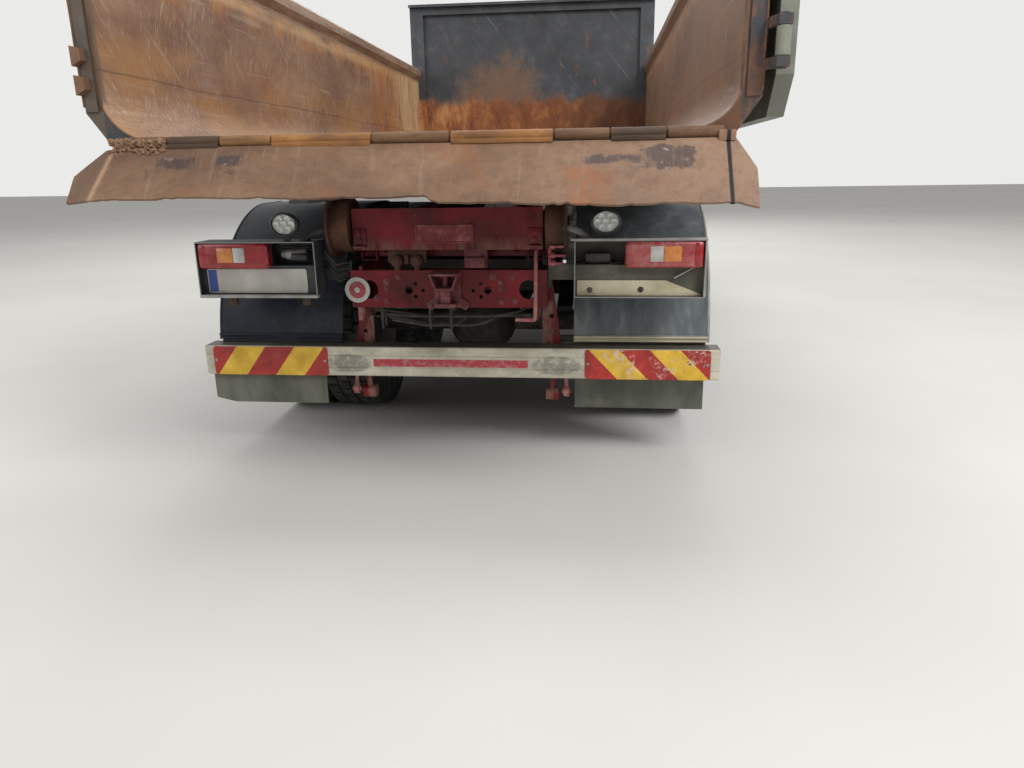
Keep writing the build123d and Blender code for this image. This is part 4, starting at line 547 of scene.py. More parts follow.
CREAM = plain_finish("cream enamel strip", "A0957A", "C0B69B", "D2CAB2", 0.5, 0.0, 7, 0.0004, 0.2, "8A7A62")
PLATE_WHITE = plain_finish("white reflective sheet", "A8A69F", "BAB8B1", "CCCAC4", 0.35, 0.0, 9, 0.0002, 0.2)
PLATE_BLUE = plain_finish("blue reflective sheet", "1D3A86", "27489A", "35569F", 0.35, 0.0, 9, 0.0002, 0.2)
CHROME_BOWL = plain_finish("vapour-metallised bowl", "D8D8D4", "E6E6E2", "EFEFEB", 0.12, 0.9, 20, 0.0001)
RED_DUSTY = plain_finish("red enamel under dust", "8E2A33", "A9505A", "C08C86", 0.6, 0.0, 26, 0.0008, 0.55,
                         "B49A8C")
STRIPE = plain_finish("worn red stripe", "B9898A", "B23A42", "BE3C46", 0.5, 0.0, 34, 0.0003)
CAB_GLASS = glass("toughened cab glass", "DDE5E3")
SEAT_CLOTH = plain_finish("woven seat cloth", "24262B", "31343A", "41444B", 0.9, 0.0, 60, 0.0008)
MIRROR = plain_finish("silvered mirror glass", "B9BEC0", "C6CACC", "D2D5D6", 0.04, 1.0, 3, 0.0)
DOOR_GREY = plain_finish("worn pale grey-green enamel", "55584F", "77796E", "9B9C90", 0.55, 0.0, 3, 0.0008,
                         0.35, "8A8273")
CABLE = plain_finish("dusty cable sheath", "1A1918", "2E2B28", "544D46", 0.7, 0.0, 20, 0.0004, 0.35, "7A7166")
ROLLER = plain_finish("rust-brown roller casting", "35211A", "523325", "734A35", 0.7, 0.3, 10, 0.0012, 0.3,
                      "7D6450")
COUPLING = plain_finish("dusty coupling casting", "451318", "6A2A2F", "996460", 0.6, 0.0, 18, 0.001, 0.45,
                        "9A8378")
LENS_RED_DUSTY = lamp_lens("dusty red acrylic lens", "8A1A20", "B05A5A", 0.6)
CONDUIT = plain_finish("grey corrugated conduit", "6A6A67", "85847F", "A3A19B", 0.6, 0.0, 14, 0.0004, 0.4)
RIM_PALE = plain_finish("pale edge, painted sunlit on the guard rim", "7A7B79", "989895", "B3B2AC", 0.5, 0.3, 10, 0.0005, 0.4)
WHITE_CELL = plain_finish("white moulded lamp cell", "C9CBC8", "DADCD9", "E6E7E4", 0.25, 0.0, 20, 0.0001)
PLATE_CAST = plain_finish("dusty cast plate", "5A1217", "7C2A2E", "A36A62", 0.6, 0.0, 22, 0.001, 0.3,
                          "A08A80")
PINK_DUST = plain_finish("dusty red enamel bar", "7C3A3C", "A66A66", "C6A096", 0.6, 0.0, 16, 0.0006, 0.4,
                         "B49A8C")

# Which of the CAD's own nodes wear each finish
WEARERS = ((TUB, "bed_shell"), (FRONT_PAINT, "front_wall"), (OUTER, "bed_underframe hook_bail"),
           (DOOR_GREY, "tail_door"), (BARREL_BROWN, "hinge_row"), (FLAP, "spill_flap"),
           (CHASSIS, "chassis_rails flap_hangers tow_jaw rear_springs"),
           (RED, "hook_subframe coupling_beam tip_frame hook_arm lift_barrels"), (ROLLER, "guide_rollers"),
           (COUPLING, "tow_coupling"), (ALUMINIUM, "underrun_beam side_guards"), (GALVANISED, "rear_plates"),
           (BRACKET, "lamp_brackets"), (LENS_RED, "tail_lamps"), (LENS_CLEAR, "work_lamps headlamps"),
           (GUARD, "mudguards"), (MUDFLAP, "mudflaps"), (TANK_METAL, "tanks"),
           (CAST, "engine prop_shafts front_axle rear_axles knuckle_left knuckle_right tie_rod"),
           (CAB_PLASTIC, "front_bumper cab_steps grille mirrors"), (SEAT_CLOTH, "seats"),
           (CAB_PAINT, "cab_shell door_left door_right"),
           (CAB_GLASS, "cab_glass door_glass_left door_glass_right"), (INTERIOR, "cab_interior"),
           (CHROME, "lift_rods"))
FINISH = {name: finish for finish, names in WEARERS for name in names.split()}
for name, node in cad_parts.items():
    if name.startswith("tyre_"):
        finish = RUBBER
    elif name.startswith("rim_"):
        finish = RIM_STEEL
    else:
        finish = FINISH[name]
    node.data.materials.clear()
    node.data.materials.append(finish)


# Modelling helpers: a primitive is added at its size and place, shaped in edit mode and finished with
# applied modifiers

def only(obj):
    bpy.ops.object.select_all(action="DESELECT")
    obj.select_set(True)
    bpy.context.view_layer.objects.active = obj
    return obj


def edit_all():
    """Edit mode, with the whole of the active mesh selected."""
    bpy.ops.object.mode_set(mode="EDIT")
    bpy.ops.mesh.select_all(action="SELECT")


def settle(obj):
    """Puts the object at the origin, unturned and unscaled, with its place in its mesh."""
    only(obj)
    bpy.ops.object.transform_apply(location=True, rotation=True, scale=True)
    return obj


def modify(obj, kind, **settings):
    modifier = obj.modifiers.new(kind.title(), kind)
    for key, value in settings.items():
        setattr(modifier, key, value)
    only(obj)
    bpy.ops.object.modifier_apply(modifier=modifier.name)
    return obj


def slab(low, high, bevel=0.0, segments=2):
    """A block between two corners, with its edges rounded."""
    bpy.ops.object.select_all(action="DESELECT")
    centre = [(a + b) / 2 for a, b in zip(low, high)]
    bpy.ops.mesh.primitive_cube_add(size=1, location=centre, scale=[b - a for a, b in zip(low, high)])
    obj = settle(bpy.context.object)
    if bevel:
        modify(obj, "BEVEL", width=bevel, segments=segments, limit_method="ANGLE")
    return obj


def drum(place, radius, length, axis="Y", sides=24, bevel=0.0, tip=None):
    """A round piece centred on place along an axis; tip is the far end's radius where it tapers."""
    bpy.ops.object.select_all(action="DESELECT")
    turn = {"X": (0, math.pi / 2, 0), "Y": (-math.pi / 2, 0, 0), "Z": (0, 0, 0)}[axis]
    bpy.ops.mesh.primitive_cone_add(vertices=sides, radius1=radius, radius2=radius if tip is None else tip,
                                    depth=length, location=place, rotation=turn)
    obj = settle(bpy.context.object)
    if bevel:
        modify(obj, "BEVEL", width=bevel, segments=2, limit_method="ANGLE", angle_limit=math.radians(40))
    return obj


def lathe(points, centre, axis=(1, 0, 0), steps=64):
    """A closed outline of (along, radius) points, spun about an axis through centre."""
    bpy.ops.object.select_all(action="DESELECT")
    bpy.ops.mesh.primitive_circle_add(vertices=len(points), radius=1, location=(0, 0, 0))
    obj = bpy.context.object
    along = Vector(axis)
    out = Vector((0, 0, 1)) if abs(along.z) < 0.5 else Vector((1, 0, 0))
    for vertex, (a, r) in zip(obj.data.vertices, points):
        vertex.co = Vector(centre) + along * a + out * r
    edit_all()
    bpy.ops.mesh.spin(steps=steps, angle=2 * math.pi, center=centre, axis=axis)
    bpy.ops.mesh.select_all(action="SELECT")
    bpy.ops.mesh.remove_doubles(threshold=0.00002)
    bpy.ops.mesh.normals_make_consistent(inside=False)
    bpy.ops.object.mode_set(mode="OBJECT")
    return obj


def together(objs):
    """Joins pieces of one finish and one body."""
    bpy.ops.object.select_all(action="DESELECT")
    for obj in objs:
        obj.select_set(True)
    bpy.context.view_layer.objects.active = objs[0]
    if len(objs) > 1:
        bpy.ops.object.join()
    return objs[0]


def copied(obj, shift):
    """A copy with its own mesh, moved."""
    other = obj.copy()
    other.data = obj.data.copy()
    bpy.context.scene.collection.objects.link(other)
    other.data.transform(Matrix.Translation(shift))
    return other


def squashed(obj, z, share):
    """The piece pressed flatter about the height z."""
    obj.data.transform(Matrix.Translation((0, 0, z)) @ Matrix.Scale(share, 4, (0, 0, 1))
                       @ Matrix.Translation((0, 0, -z)))
    return obj


def spread(side, inner, outer):
    """The lower and the upper x of a stretch between two distances out from the middle."""
    return sorted((side * inner, side * outer))


def cut(obj, spot, away):
    """Cuts off what lies beyond a plane through spot, on the side that away points to, and closes the cut."""
    only(obj)
    edit_all()
    bpy.ops.mesh.bisect(plane_co=spot, plane_no=away, use_fill=True, clear_outer=True)
    bpy.ops.object.mode_set(mode="OBJECT")
    return obj


def place(made, name, body, material, slot, smooth=35, stands_for=()):
    """The finished piece: joined where it is a list, named, shaded, given its finish, and riding on its
    body."""
    obj = together(made) if isinstance(made, list) else made
    obj.name = name
    only(obj)
    if smooth:
        bpy.ops.object.shade_smooth_by_angle(angle=math.radians(smooth))
    obj.data.materials.clear()
    obj.data.materials.append(material)
    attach(obj, body)
    if stands_for:
        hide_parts(*stands_for)
    return obj


def bolts(places, axis, radius, height):
    """Hexagon heads with washers at the given centres of their seats; axis is the way they face, such as
    -Y."""
    sign = -1 if axis[0] == "-" else 1
    letter = axis[-1]
    unit = Vector([sign if c == letter else 0 for c in "XYZ"])
    made = []
    for spot in places:
        spot = Vector(spot)
        made.append(drum(spot + unit * height / 2, radius, height, letter, 6, radius * 0.12))
        made.append(drum(spot + unit * 0.0015, radius * 1.5, 0.003, letter, 16))
    return made


def pipe(points, radius, sides=10):
    """A round bar or pipe that follows smooth points, made a mesh."""
    curve = bpy.data.curves.new("pipe", "CURVE")
    curve.dimensions = "3D"
    curve.bevel_depth = radius
    curve.bevel_resolution = max(1, sides // 4)
    curve.use_fill_caps = True
    spline = curve.splines.new("NURBS")
    spline.points.add(len(points) - 1)
    for point, spot in zip(spline.points, points):
        point.co = (*spot, 1)
    spline.order_u = 3
    spline.use_endpoint_u = True
    spline.resolution_u = 8
    obj = bpy.data.objects.new("pipe", curve)
    bpy.context.scene.collection.objects.link(obj)
    only(obj)
    bpy.ops.object.convert(target="MESH")
    return bpy.context.object


# Tyres

TYRE_R, RIM_R = 0.53, 0.29
STEER_X, TWIN_X, TWIN_HALF = 1.03, 0.897, 0.1675
NUTS, NUT_CIRCLE_R = 10, 0.16
STEER_NUT_FACE, TWIN_NUT_FACE = STEER_X + 0.095, TWIN_X + TWIN_HALF - 0.143


def one_tyre(centre, lugs):
    """A carcass with its tread: straight ribs on the steered axle, blocks on the driven ones."""
    r = TYRE_R - 0.012
    outline = [(-0.112, RIM_R + 0.001), (-0.128, RIM_R + 0.012), (-0.141, RIM_R + 0.06),
               (-0.1495, RIM_R + 0.115), (-0.146, RIM_R + 0.165), (-0.139, r - 0.03), (-0.13, r - 0.008),
               (-0.105, r), (0.105, r), (0.13, r - 0.008), (0.139, r - 0.03), (0.146, RIM_R + 0.165),
               (0.1495, RIM_R + 0.115), (0.141, RIM_R + 0.06), (0.128, RIM_R + 0.012), (0.112, RIM_R + 0.001),
               (0.08, RIM_R + 0.02), (-0.08, RIM_R + 0.02)]
    carcass = lathe(outline, centre, steps=72)
    parts = [carcass]
    if lugs:
        pitch = 44
        width = 2 * math.pi * TYRE_R / pitch
        blocks = []
        for x0, x1, shift in ((-0.137, -0.075, 0), (-0.067, -0.006, 0.5), (0.006, 0.067, 0),
                              (0.075, 0.137, 0.5)):
            block = slab((centre[0] + x0, centre[1] - width * 0.4, centre[2] + r - 0.012),
                         (centre[0] + x1, centre[1] + width * 0.4, centre[2] + TYRE_R), 0.003, 1)
            turn = Matrix.Rotation(shift * 2 * math.pi / pitch, 4, "X")
            block.data.transform(Matrix.Translation(centre) @ turn @ Matrix.Translation([-c for c in centre]))
            blocks.append(block)
        tread = together(blocks)
        edit_all()
        bpy.ops.mesh.spin(steps=pitch, dupli=True, angle=2 * math.pi, center=centre, axis=(1, 0, 0))
        bpy.ops.mesh.select_all(action="SELECT")
        bpy.ops.mesh.remove_doubles(threshold=0.0001)
        bpy.ops.object.mode_set(mode="OBJECT")
        parts.append(tread)
    else:
        for x0, x1 in ((-0.134, -0.098), (-0.088, -0.05), (-0.04, 0.04), (0.05, 0.088), (0.098, 0.134)):
            rib = [(x0, r - 0.01), (x0 + 0.002, TYRE_R - (0.003 if abs(x0 + x1) > 0.1 else 0)),
                   (x1 - 0.002, TYRE_R - (0.003 if abs(x0 + x1) > 0.1 else 0)), (x1, r - 0.01)]
            parts.append(lathe(rib, centre, steps=72))
    # a raised ring round each sidewall
    for side in (-1, 1):
        ring = [(side * 0.1455, RIM_R + 0.075), (side * 0.1495, RIM_R + 0.08), (side * 0.1495, RIM_R + 0.088),
                (side * 0.146, RIM_R + 0.093)]
        parts.append(lathe(ring, centre, steps=72))
    return together(parts)


def tyres():
    steer = one_tyre((0, 0, TYRE_R), False)
    drive = one_tyre((0, 0, TYRE_R), True)
    for side, word in SIDES:
        front = copied(steer, (side * STEER_X, FRONT_AXLE, 0))
        place(front, f"steer_tyre_{word}", f"wheel_front_{word}", RUBBER, "tyre",
              stands_for=[f"tyre_front_{word}"])
        for axle, y in (("mid", MID_AXLE), ("rear", REAR_AXLE)):
            twins = [copied(drive, (side * (TWIN_X + k * TWIN_HALF), y, 0)) for k in (-1, 1)]
            place(twins, f"drive_tyres_{axle}_{word}", f"wheel_{axle}_{word}", RUBBER, "tyre",
                  stands_for=[f"tyre_{axle}_{word}"])
    for spare in (steer, drive):
        bpy.data.objects.remove(spare)


def wheel_nuts():
    """Ten nuts round each hub, with the studs' ends proud of them."""
    for side, word in SIDES:
        letter = "X" if side > 0 else "-X"
        for axle, y, face in (("front", FRONT_AXLE, STEER_NUT_FACE), ("mid", MID_AXLE, TWIN_NUT_FACE),
                              ("rear", REAR_AXLE, TWIN_NUT_FACE)):
            made = []
            for k in range(NUTS):
                angle = 2 * math.pi * (k + 0.5) / NUTS
                spot = (side * face, y + NUT_CIRCLE_R * math.cos(angle),
                        TYRE_R + NUT_CIRCLE_R * math.sin(angle))
                made += bolts([spot], letter, 0.0165, 0.024)
                made.append(drum((side * (face + 0.02), spot[1], spot[2]), 0.01, 0.036, "X", 10))
            place(made, f"wheel_nuts_{axle}_{word}", f"wheel_{axle}_{word}", CAST, "roller_steel")


tyres()
wheel_nuts()


# Rear boards, lamps and fittings

def plate(low, high, axis, radius, rim=0.0):
    """A flat plate, thin along axis, with round corners, and a raised rim where it has one."""
    obj = slab(low, high)
    bpy.ops.object.mode_set(mode="EDIT")
    bpy.ops.mesh.select_mode(type="EDGE")
    bpy.ops.mesh.select_all(action="DESELECT")
    bpy.ops.object.mode_set(mode="OBJECT")
    for edge in obj.data.edges:
        a, b = (obj.data.vertices[i].co for i in edge.vertices)
        edge.select = (b - a).normalized()[axis] ** 2 > 0.9
    bpy.ops.object.mode_set(mode="EDIT")
    bpy.ops.mesh.bevel(offset=radius, segments=5, affect="EDGES")
    bpy.ops.object.mode_set(mode="OBJECT")
    if rim:
        for face in obj.data.polygons:
            face.select = face.normal[axis] < -0.9
        bpy.ops.object.mode_set(mode="EDIT")
        bpy.ops.mesh.select_mode(type="FACE")
        bpy.ops.mesh.inset(thickness=rim, depth=0)
        bpy.ops.mesh.inset(thickness=rim * 0.5, depth=-rim * 0.35)
        bpy.ops.object.mode_set(mode="OBJECT")
    return obj


def marker_boards():
    for side, word, finish in ((-1, "left", MARK_LEFT), (1, "right", MARK_RIGHT)):
        x = spread(side, 0.634, 1.224)
        board = plate((x[0], BEAM - 0.0035, 0.438), (x[1], BEAM + 0.001, 0.582), 1, 0.014)
        heads = [drum((x[0] + 0.014 + k * 0.562, BEAM - 0.0042, 0.512), 0.007, 0.005, "Y", 14, 0.0015)
                 for k in (0, 1)]
        place(board, f"marker_board_{word}", "chassis", finish, "marker_plate",
              stands_for=["rear_plates"] if side < 0 else ())
        place(heads, f"marker_rivets_{word}", "chassis", GALVANISED, "roller_steel")
    # blank number plate with its plain blue band, on the left lamp box
    y = BOX_REAR + 0.037
    number = plate((-1.122, y - 0.0003, 0.877), (-0.642, y + 0.0017, 0.987), 1, 0.01, 0.004)
    place(number, "number_plate", "chassis", PLATE_WHITE, "marker_plate")
    band = slab((-1.116, y - 0.001, 0.882), (-1.078, y + 0.0005, 0.982), 0.0004, 1)
    place(band, "number_plate_band", "chassis", PLATE_BLUE, "marker_plate", smooth=0)
    lamp = drum((-0.66, BEAM - 0.18, 1.045), 0.017, 0.075, "X", 20, 0.004)
    place(lamp, "plate_lamp", "chassis", LAMP_BLACK, "black_plastic")


def lamp_clusters():
    """Long rear lamps: a red shell with an amber and a clear window, on a black tray."""
    y0 = LAMP_REAR
    for side, word in SIDES:
        outer, inner = side * 1.14, side * 0.805
        x0, x1 = sorted((outer, inner))
        shell = slab((x0, y0 + 0.004, 0.992), (x1, y0 + 0.06, 1.109), 0.016, 4)
        place(shell, f"lamp_shell_{word}", "chassis", LENS_RED if side < 0 else LENS_RED_DUSTY, "lamp_red",
              stands_for=["tail_lamps"] if side < 0 else ())
        ends = sorted((outer, outer - side * 0.05))
        cap = slab((ends[0], y0 + 0.001, 0.994), (ends[1], y0 + 0.04, 1.107), 0.02, 5)
        place(cap, f"lamp_end_{word}", "chassis", LENS_RED, "lamp_red")
        ends = sorted((outer - side * 0.058, inner + side * 0.012))
        band = plate((ends[0], y0 + 0.0025, 1.016), (ends[1], y0 + 0.01, 1.094), 1, 0.008)
        place(band, f"lamp_band_{word}", "chassis", LENS_RED if side < 0 else LENS_RED_DUSTY, "lamp_red")
        tray = slab((x0 - 0.002, y0 + 0.05, 0.996), (x1 + 0.002, y0 + 0.078, 1.1085), 0.004, 2)
        place(tray, f"lamp_tray_{word}", "chassis", LAMP_BLACK, "black_plastic")
        width = x1 - x0
        for a, b, finish, kind in ((0.28, 0.51, LENS_AMBER, "amber"), (0.51, 0.68, LENS_CLEAR, "clear")):
            ends = sorted((outer - side * width * a, outer - side * width * b))
            window = slab((ends[0] + 0.001, y0 + 0.0015, 1.02), (ends[1] - 0.001, y0 + 0.012, 1.087), 0.0025,
                          2)
            place(window, f"lamp_{kind}_{word}", "chassis", finish, "lamp_clear")
        screws = [drum((inner + side * 0.008, y0 + 0.006, z), 0.004, 0.005, "Y", 10) for z in (1.008, 1.094)]
        place(screws, f"lamp_screws_{word}", "chassis", CAST, "roller_steel")


OVAL = 0.78


def work_lights():
    """Oval LED work lamps: finned housing, a bright bowl of seven round cells inside a rim."""
    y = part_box("work_lamps")[0].y
    for side, word in SIDES:
        x, z = side * 0.72, 1.19
        body = squashed(drum((x, y + 0.045, z), 0.065, 0.048, "Y", 40, 0.004, tip=0.052), z, OVAL)
        fins = []
        for k in range(6):
            fin = slab((x - 0.05, y + 0.052, z - 0.034 + k * 0.0125),
                       (x + 0.05, y + 0.07, z - 0.031 + k * 0.0125), 0.0008, 1)
            fins.append(fin)
        rim = [(0.0, 0.057), (0.005, 0.0675), (0.024, 0.0675), (0.024, 0.06)]
        rim = squashed(lathe(rim, (x, y - 0.002, z), (0, 1, 0), 40), z, OVAL)
        foot = slab((x - 0.016, y + 0.03, 1.113), (x + 0.016, y + 0.036, 1.15), 0.002, 1)
        stem = bolts([(x, y + 0.033, 1.14)], "Z", 0.007, 0.012)
        place([body, rim, foot] + fins + stem, f"work_lamp_{word}", "chassis", LAMP_BLACK, "black_plastic",
              stands_for=["work_lamps"] if side < 0 else ())
        cells = []
        for k in range(7):
            turn = 2 * math.pi * k / 6
            reach = 0.031 if k < 6 else 0
            spot = (x + reach * math.cos(turn) * 1.15, y + 0.004, z + reach * math.sin(turn) * 0.86)
            cells.append(lathe([(0.0, 0.0125), (0.0, 0.014), (0.009, 0.0085), (0.011, 0.004), (0.009, 0.004)],
                               spot, (0, 1, 0), 16))
        place(cells, f"work_lamp_cells_{word}", "chassis", WHITE_CELL, "lamp_clear")
        back = squashed(drum((x, y + 0.014, z), 0.056, 0.004, "Y", 40), z, OVAL)
        place(back, f"work_lamp_bowl_{word}", "chassis", WHITE_CELL, "lamp_clear")


def reflector():
    """Round reflector on the left end of the lower beam: white rim, red ring, white eye."""
    x, y, z = -0.43, LOWER_BEAM_REAR, 0.88
    for radius, depth, finish, word in ((0.06, 0.006, PLATE_WHITE, "rim"), (0.04, 0.0085, LENS_RED, "ring"),
                                        (0.013, 0.0105, PLATE_WHITE, "eye")):
        disc = drum((x, y - depth / 2, z), radius, depth, "Y", 40, 0.0012)
        place(disc, f"reflector_{word}", "chassis", finish, "lamp_red")


def beam_fittings():
    """What hangs on the red beams: bolts, the blank cast plate, air and electric sockets, handles and a bent
    pipe."""
    face = LOWER_BEAM_REAR
    spots = [(x, face, z) for x in (-0.29, 0.25) for z in (0.827, 0.885, 0.915)]
    spots += [(x, face, 0.94) for x in (-0.23, 0.21, 0.3)] + [(-0.34, face, 0.84), (0.31, face, 0.83)]
    spots += [(x, face - 0.016, z) for x, z in ((-0.08, 0.806), (0.08, 0.806), (-0.05, 0.905), (0.05, 0.905))]
    place(bolts(spots, "-Y", 0.0105, 0.01), "coupling_beam_bolts", "chassis", COUPLING, "red_paint")
    # blank raised plate on the upper beam
    rear = UPPER_BEAM_REAR
    border = [slab((-0.145, rear - 0.006, z), (0.126, rear, z + 0.007), 0.002) for z in (1.093, 1.17)]
    border += [slab((x, rear - 0.006, 1.093), (x + 0.007, rear, 1.177), 0.002) for x in (-0.145, 0.119)]
    blank = [slab((-0.141, rear - 0.002, 1.097), (0.122, rear, 1.173), 0.0005, 1)] + border
    place(blank, "blank_cast_plate", "chassis", PLATE_CAST, "red_paint")
    corner = []
    for side in (-1, 1):
        x = side * 0.405
        corner.append(slab((x - 0.03, rear - 0.03, 1.075), (x + 0.03, rear + 0.001, 1.083), 0.002))
        corner.append(slab((x - 0.03, rear - 0.008, 1.083), (x + 0.03, rear + 0.001, 1.16), 0.002))
        corner += bolts([(x, rear - 0.008, 1.11), (x, rear - 0.008, 1.14)], "-Y", 0.01, 0.01)
    place(corner, "upper_beam_brackets", "chassis", RED, "red_paint")
    # two air couplings and a trailer socket below the upper beam
    air = []
    for x in (-0.235, -0.142):
        air.append(drum((x, BEAM - 0.075, 1.014), 0.028, 0.05, "Y", 28, 0.005))
        air.append(drum((x, BEAM - 0.104, 1.014), 0.02, 0.014, "Y", 24, 0.003))
        air.append(drum((x, BEAM - 0.08, 0.983), 0.014, 0.022, "Z", 6, 0.002))
    air.append(slab((-0.285, BEAM - 0.062, 1.0), (-0.1, BEAM - 0.04, 1.0615), 0.008))
    air.append(slab((-0.2, BEAM - 0.09, 1.0), (-0.178, BEAM - 0.055, 1.04), 0.004))
    place(air, "air_couplings", "chassis", ROLLER, "roller_steel")
    socket = [slab((0.082, BEAM - 0.1, 0.982), (0.178, BEAM - 0.05, 1.03), 0.006),
              slab((0.076, BEAM - 0.06, 0.976), (0.184, BEAM - 0.03, 1.0615), 0.004)]
    place(socket, "trailer_socket", "chassis", COUPLING, "red_paint")
    # bent pipe down the right side
    bent = pipe([(0.41, BEAM - 0.03, 1.07), (0.41, BEAM - 0.1, 1.045), (0.41, BEAM - 0.104, 0.95),
                 (0.408, BEAM - 0.104, 0.84), (0.405, BEAM - 0.104, 0.748), (0.395, BEAM - 0.104, 0.742),
                 (0.315, BEAM - 0.1, 0.745)], 0.009)
    place(bent, "bent_pipe", "chassis", PINK_DUST, "red_paint")
    handles = []
    for k, z in enumerate((1.0, 1.035, 1.075, 1.115)):
        handles.append(drum((0.485, BEAM - 0.05, z), 0.014, 0.045, "Y", 16, 0.003))
        handles.append(slab((0.47, BEAM - 0.09, z - 0.005), (0.535 + 0.01 * (k % 2), BEAM - 0.078, z + 0.006),
                            0.003))
    handles.append(slab((0.463, BEAM - 0.06, 0.985), (0.478, BEAM - 0.02, 1.135), 0.003))
    place(handles, "valve_handles", "chassis", RED_DUSTY, "red_paint")


def conduits():
    """Grey conduits from the frame over to the lamp boxes, with their end nuts, the rigid lines clipped
    below the lower beam, a catch lever and two links."""
    for side, word in SIDES:
        bend = pipe([(side * 0.48, BEAM - 0.05, 1.142), (side * 0.5, BEAM - 0.07, 1.15),
                     (side * 0.55, BEAM - 0.11, 1.162), (side * 0.6, BEAM - 0.13, 1.15),
                     (side * 0.632, BEAM - 0.14, 1.128), (side * 0.64, BEAM - 0.14, 1.114)], 0.016, 16)
        ends = [drum((side * 0.64, BEAM - 0.14, 1.118), 0.024, 0.012, "Z", 6, 0.002),
                drum((side * 0.474, BEAM - 0.05, 1.142), 0.021, 0.02, "X", 6, 0.002)]
        place([bend] + ends, f"lamp_conduit_{word}", "chassis", CONDUIT if side > 0 else CABLE,
              "black_plastic")
    lines, clips = [], []
    for k in range(7):
        z = 0.79 - 0.011 * k
        y = BEAM - 0.05 + 0.012 * (k % 3)
        x0, x1 = -0.39 + 0.018 * k, (0.05, 0.36, 0.02, 0.3, 0.38, 0.08, 0.2)[k]
        sag = 0.012 * ((k * 3) % 4)
        lines.append(pipe([(x0, y, z + 0.006), (x0 + 0.1, y, z - sag * 0.3), (-0.12, y + 0.01, z - sag),
                           (-0.02, y, z - sag * 0.7), (x1 - 0.06, y + 0.02, z - sag),
                           (x1, y + 0.03, z + 0.008)], 0.0055 + 0.0012 * (k % 3), 8))
    for x in (-0.33, -0.1, 0.0):
        clips.append(slab((x, BEAM - 0.066, 0.69), (x + 0.011, BEAM - 0.004, 0.694), 0.001))
        clips += [slab((x, y, 0.692), (x + 0.011, y + 0.003, 0.799), 0.0005)
                  for y in (BEAM - 0.066, BEAM - 0.007)]
    place(lines, "beam_lines", "chassis", CABLE, "black_plastic")
    place(clips, "beam_line_clips", "chassis", CABLE, "chassis_paint")
    leads = []
    for k in range(4):
        z = 1.06 - 0.025 * k
        leads.append(pipe([(-0.575, BEAM - 0.1 + 0.01 * k, z),
                           (-0.55, BEAM - 0.11, z - 0.02 + 0.012 * (k % 2)), (-0.52, BEAM - 0.09, z - 0.07),
                           (-0.49, BEAM - 0.07, z - 0.05), (-0.474, BEAM - 0.05, z - 0.06)], 0.006, 8))
    place(leads, "left_box_leads", "chassis", CABLE, "black_plastic")
    # a small catch lever on the left leg
    lever = [pipe([(-0.545, BEAM + 0.08, 0.862), (-0.52, BEAM + 0.08, 0.83), (-0.485, BEAM + 0.09, 0.8)],
                  0.008, 8), drum((-0.478, BEAM + 0.095, 0.79), 0.02, 0.03, "Y", 20, 0.003),
             slab((-0.49, BEAM + 0.085, 0.7), (-0.468, BEAM + 0.1, 0.79), 0.003)]
    place(lever, "catch_lever", "chassis", PINK_DUST, "red_paint")
    # second link beside each of the two under the legs
    for side, word in SIDES:
        x = side * 0.542
        made = [drum((x, BEAM + 0.15, 0.33), 0.027, 0.03, "X", 24, 0.005),
                drum((x, BEAM + 0.15, 0.33), 0.011, 0.05, "X", 12, 0.002),
                pipe([(x, BEAM + 0.15, 0.35), (x, BEAM + 0.148, 0.4), (x - side * 0.02, BEAM + 0.146, 0.45),
                      (x - side * 0.045, BEAM + 0.143, 0.5)], 0.01, 8)]
        place(made, f"second_link_{word}", "chassis", PINK_DUST, "red_paint")


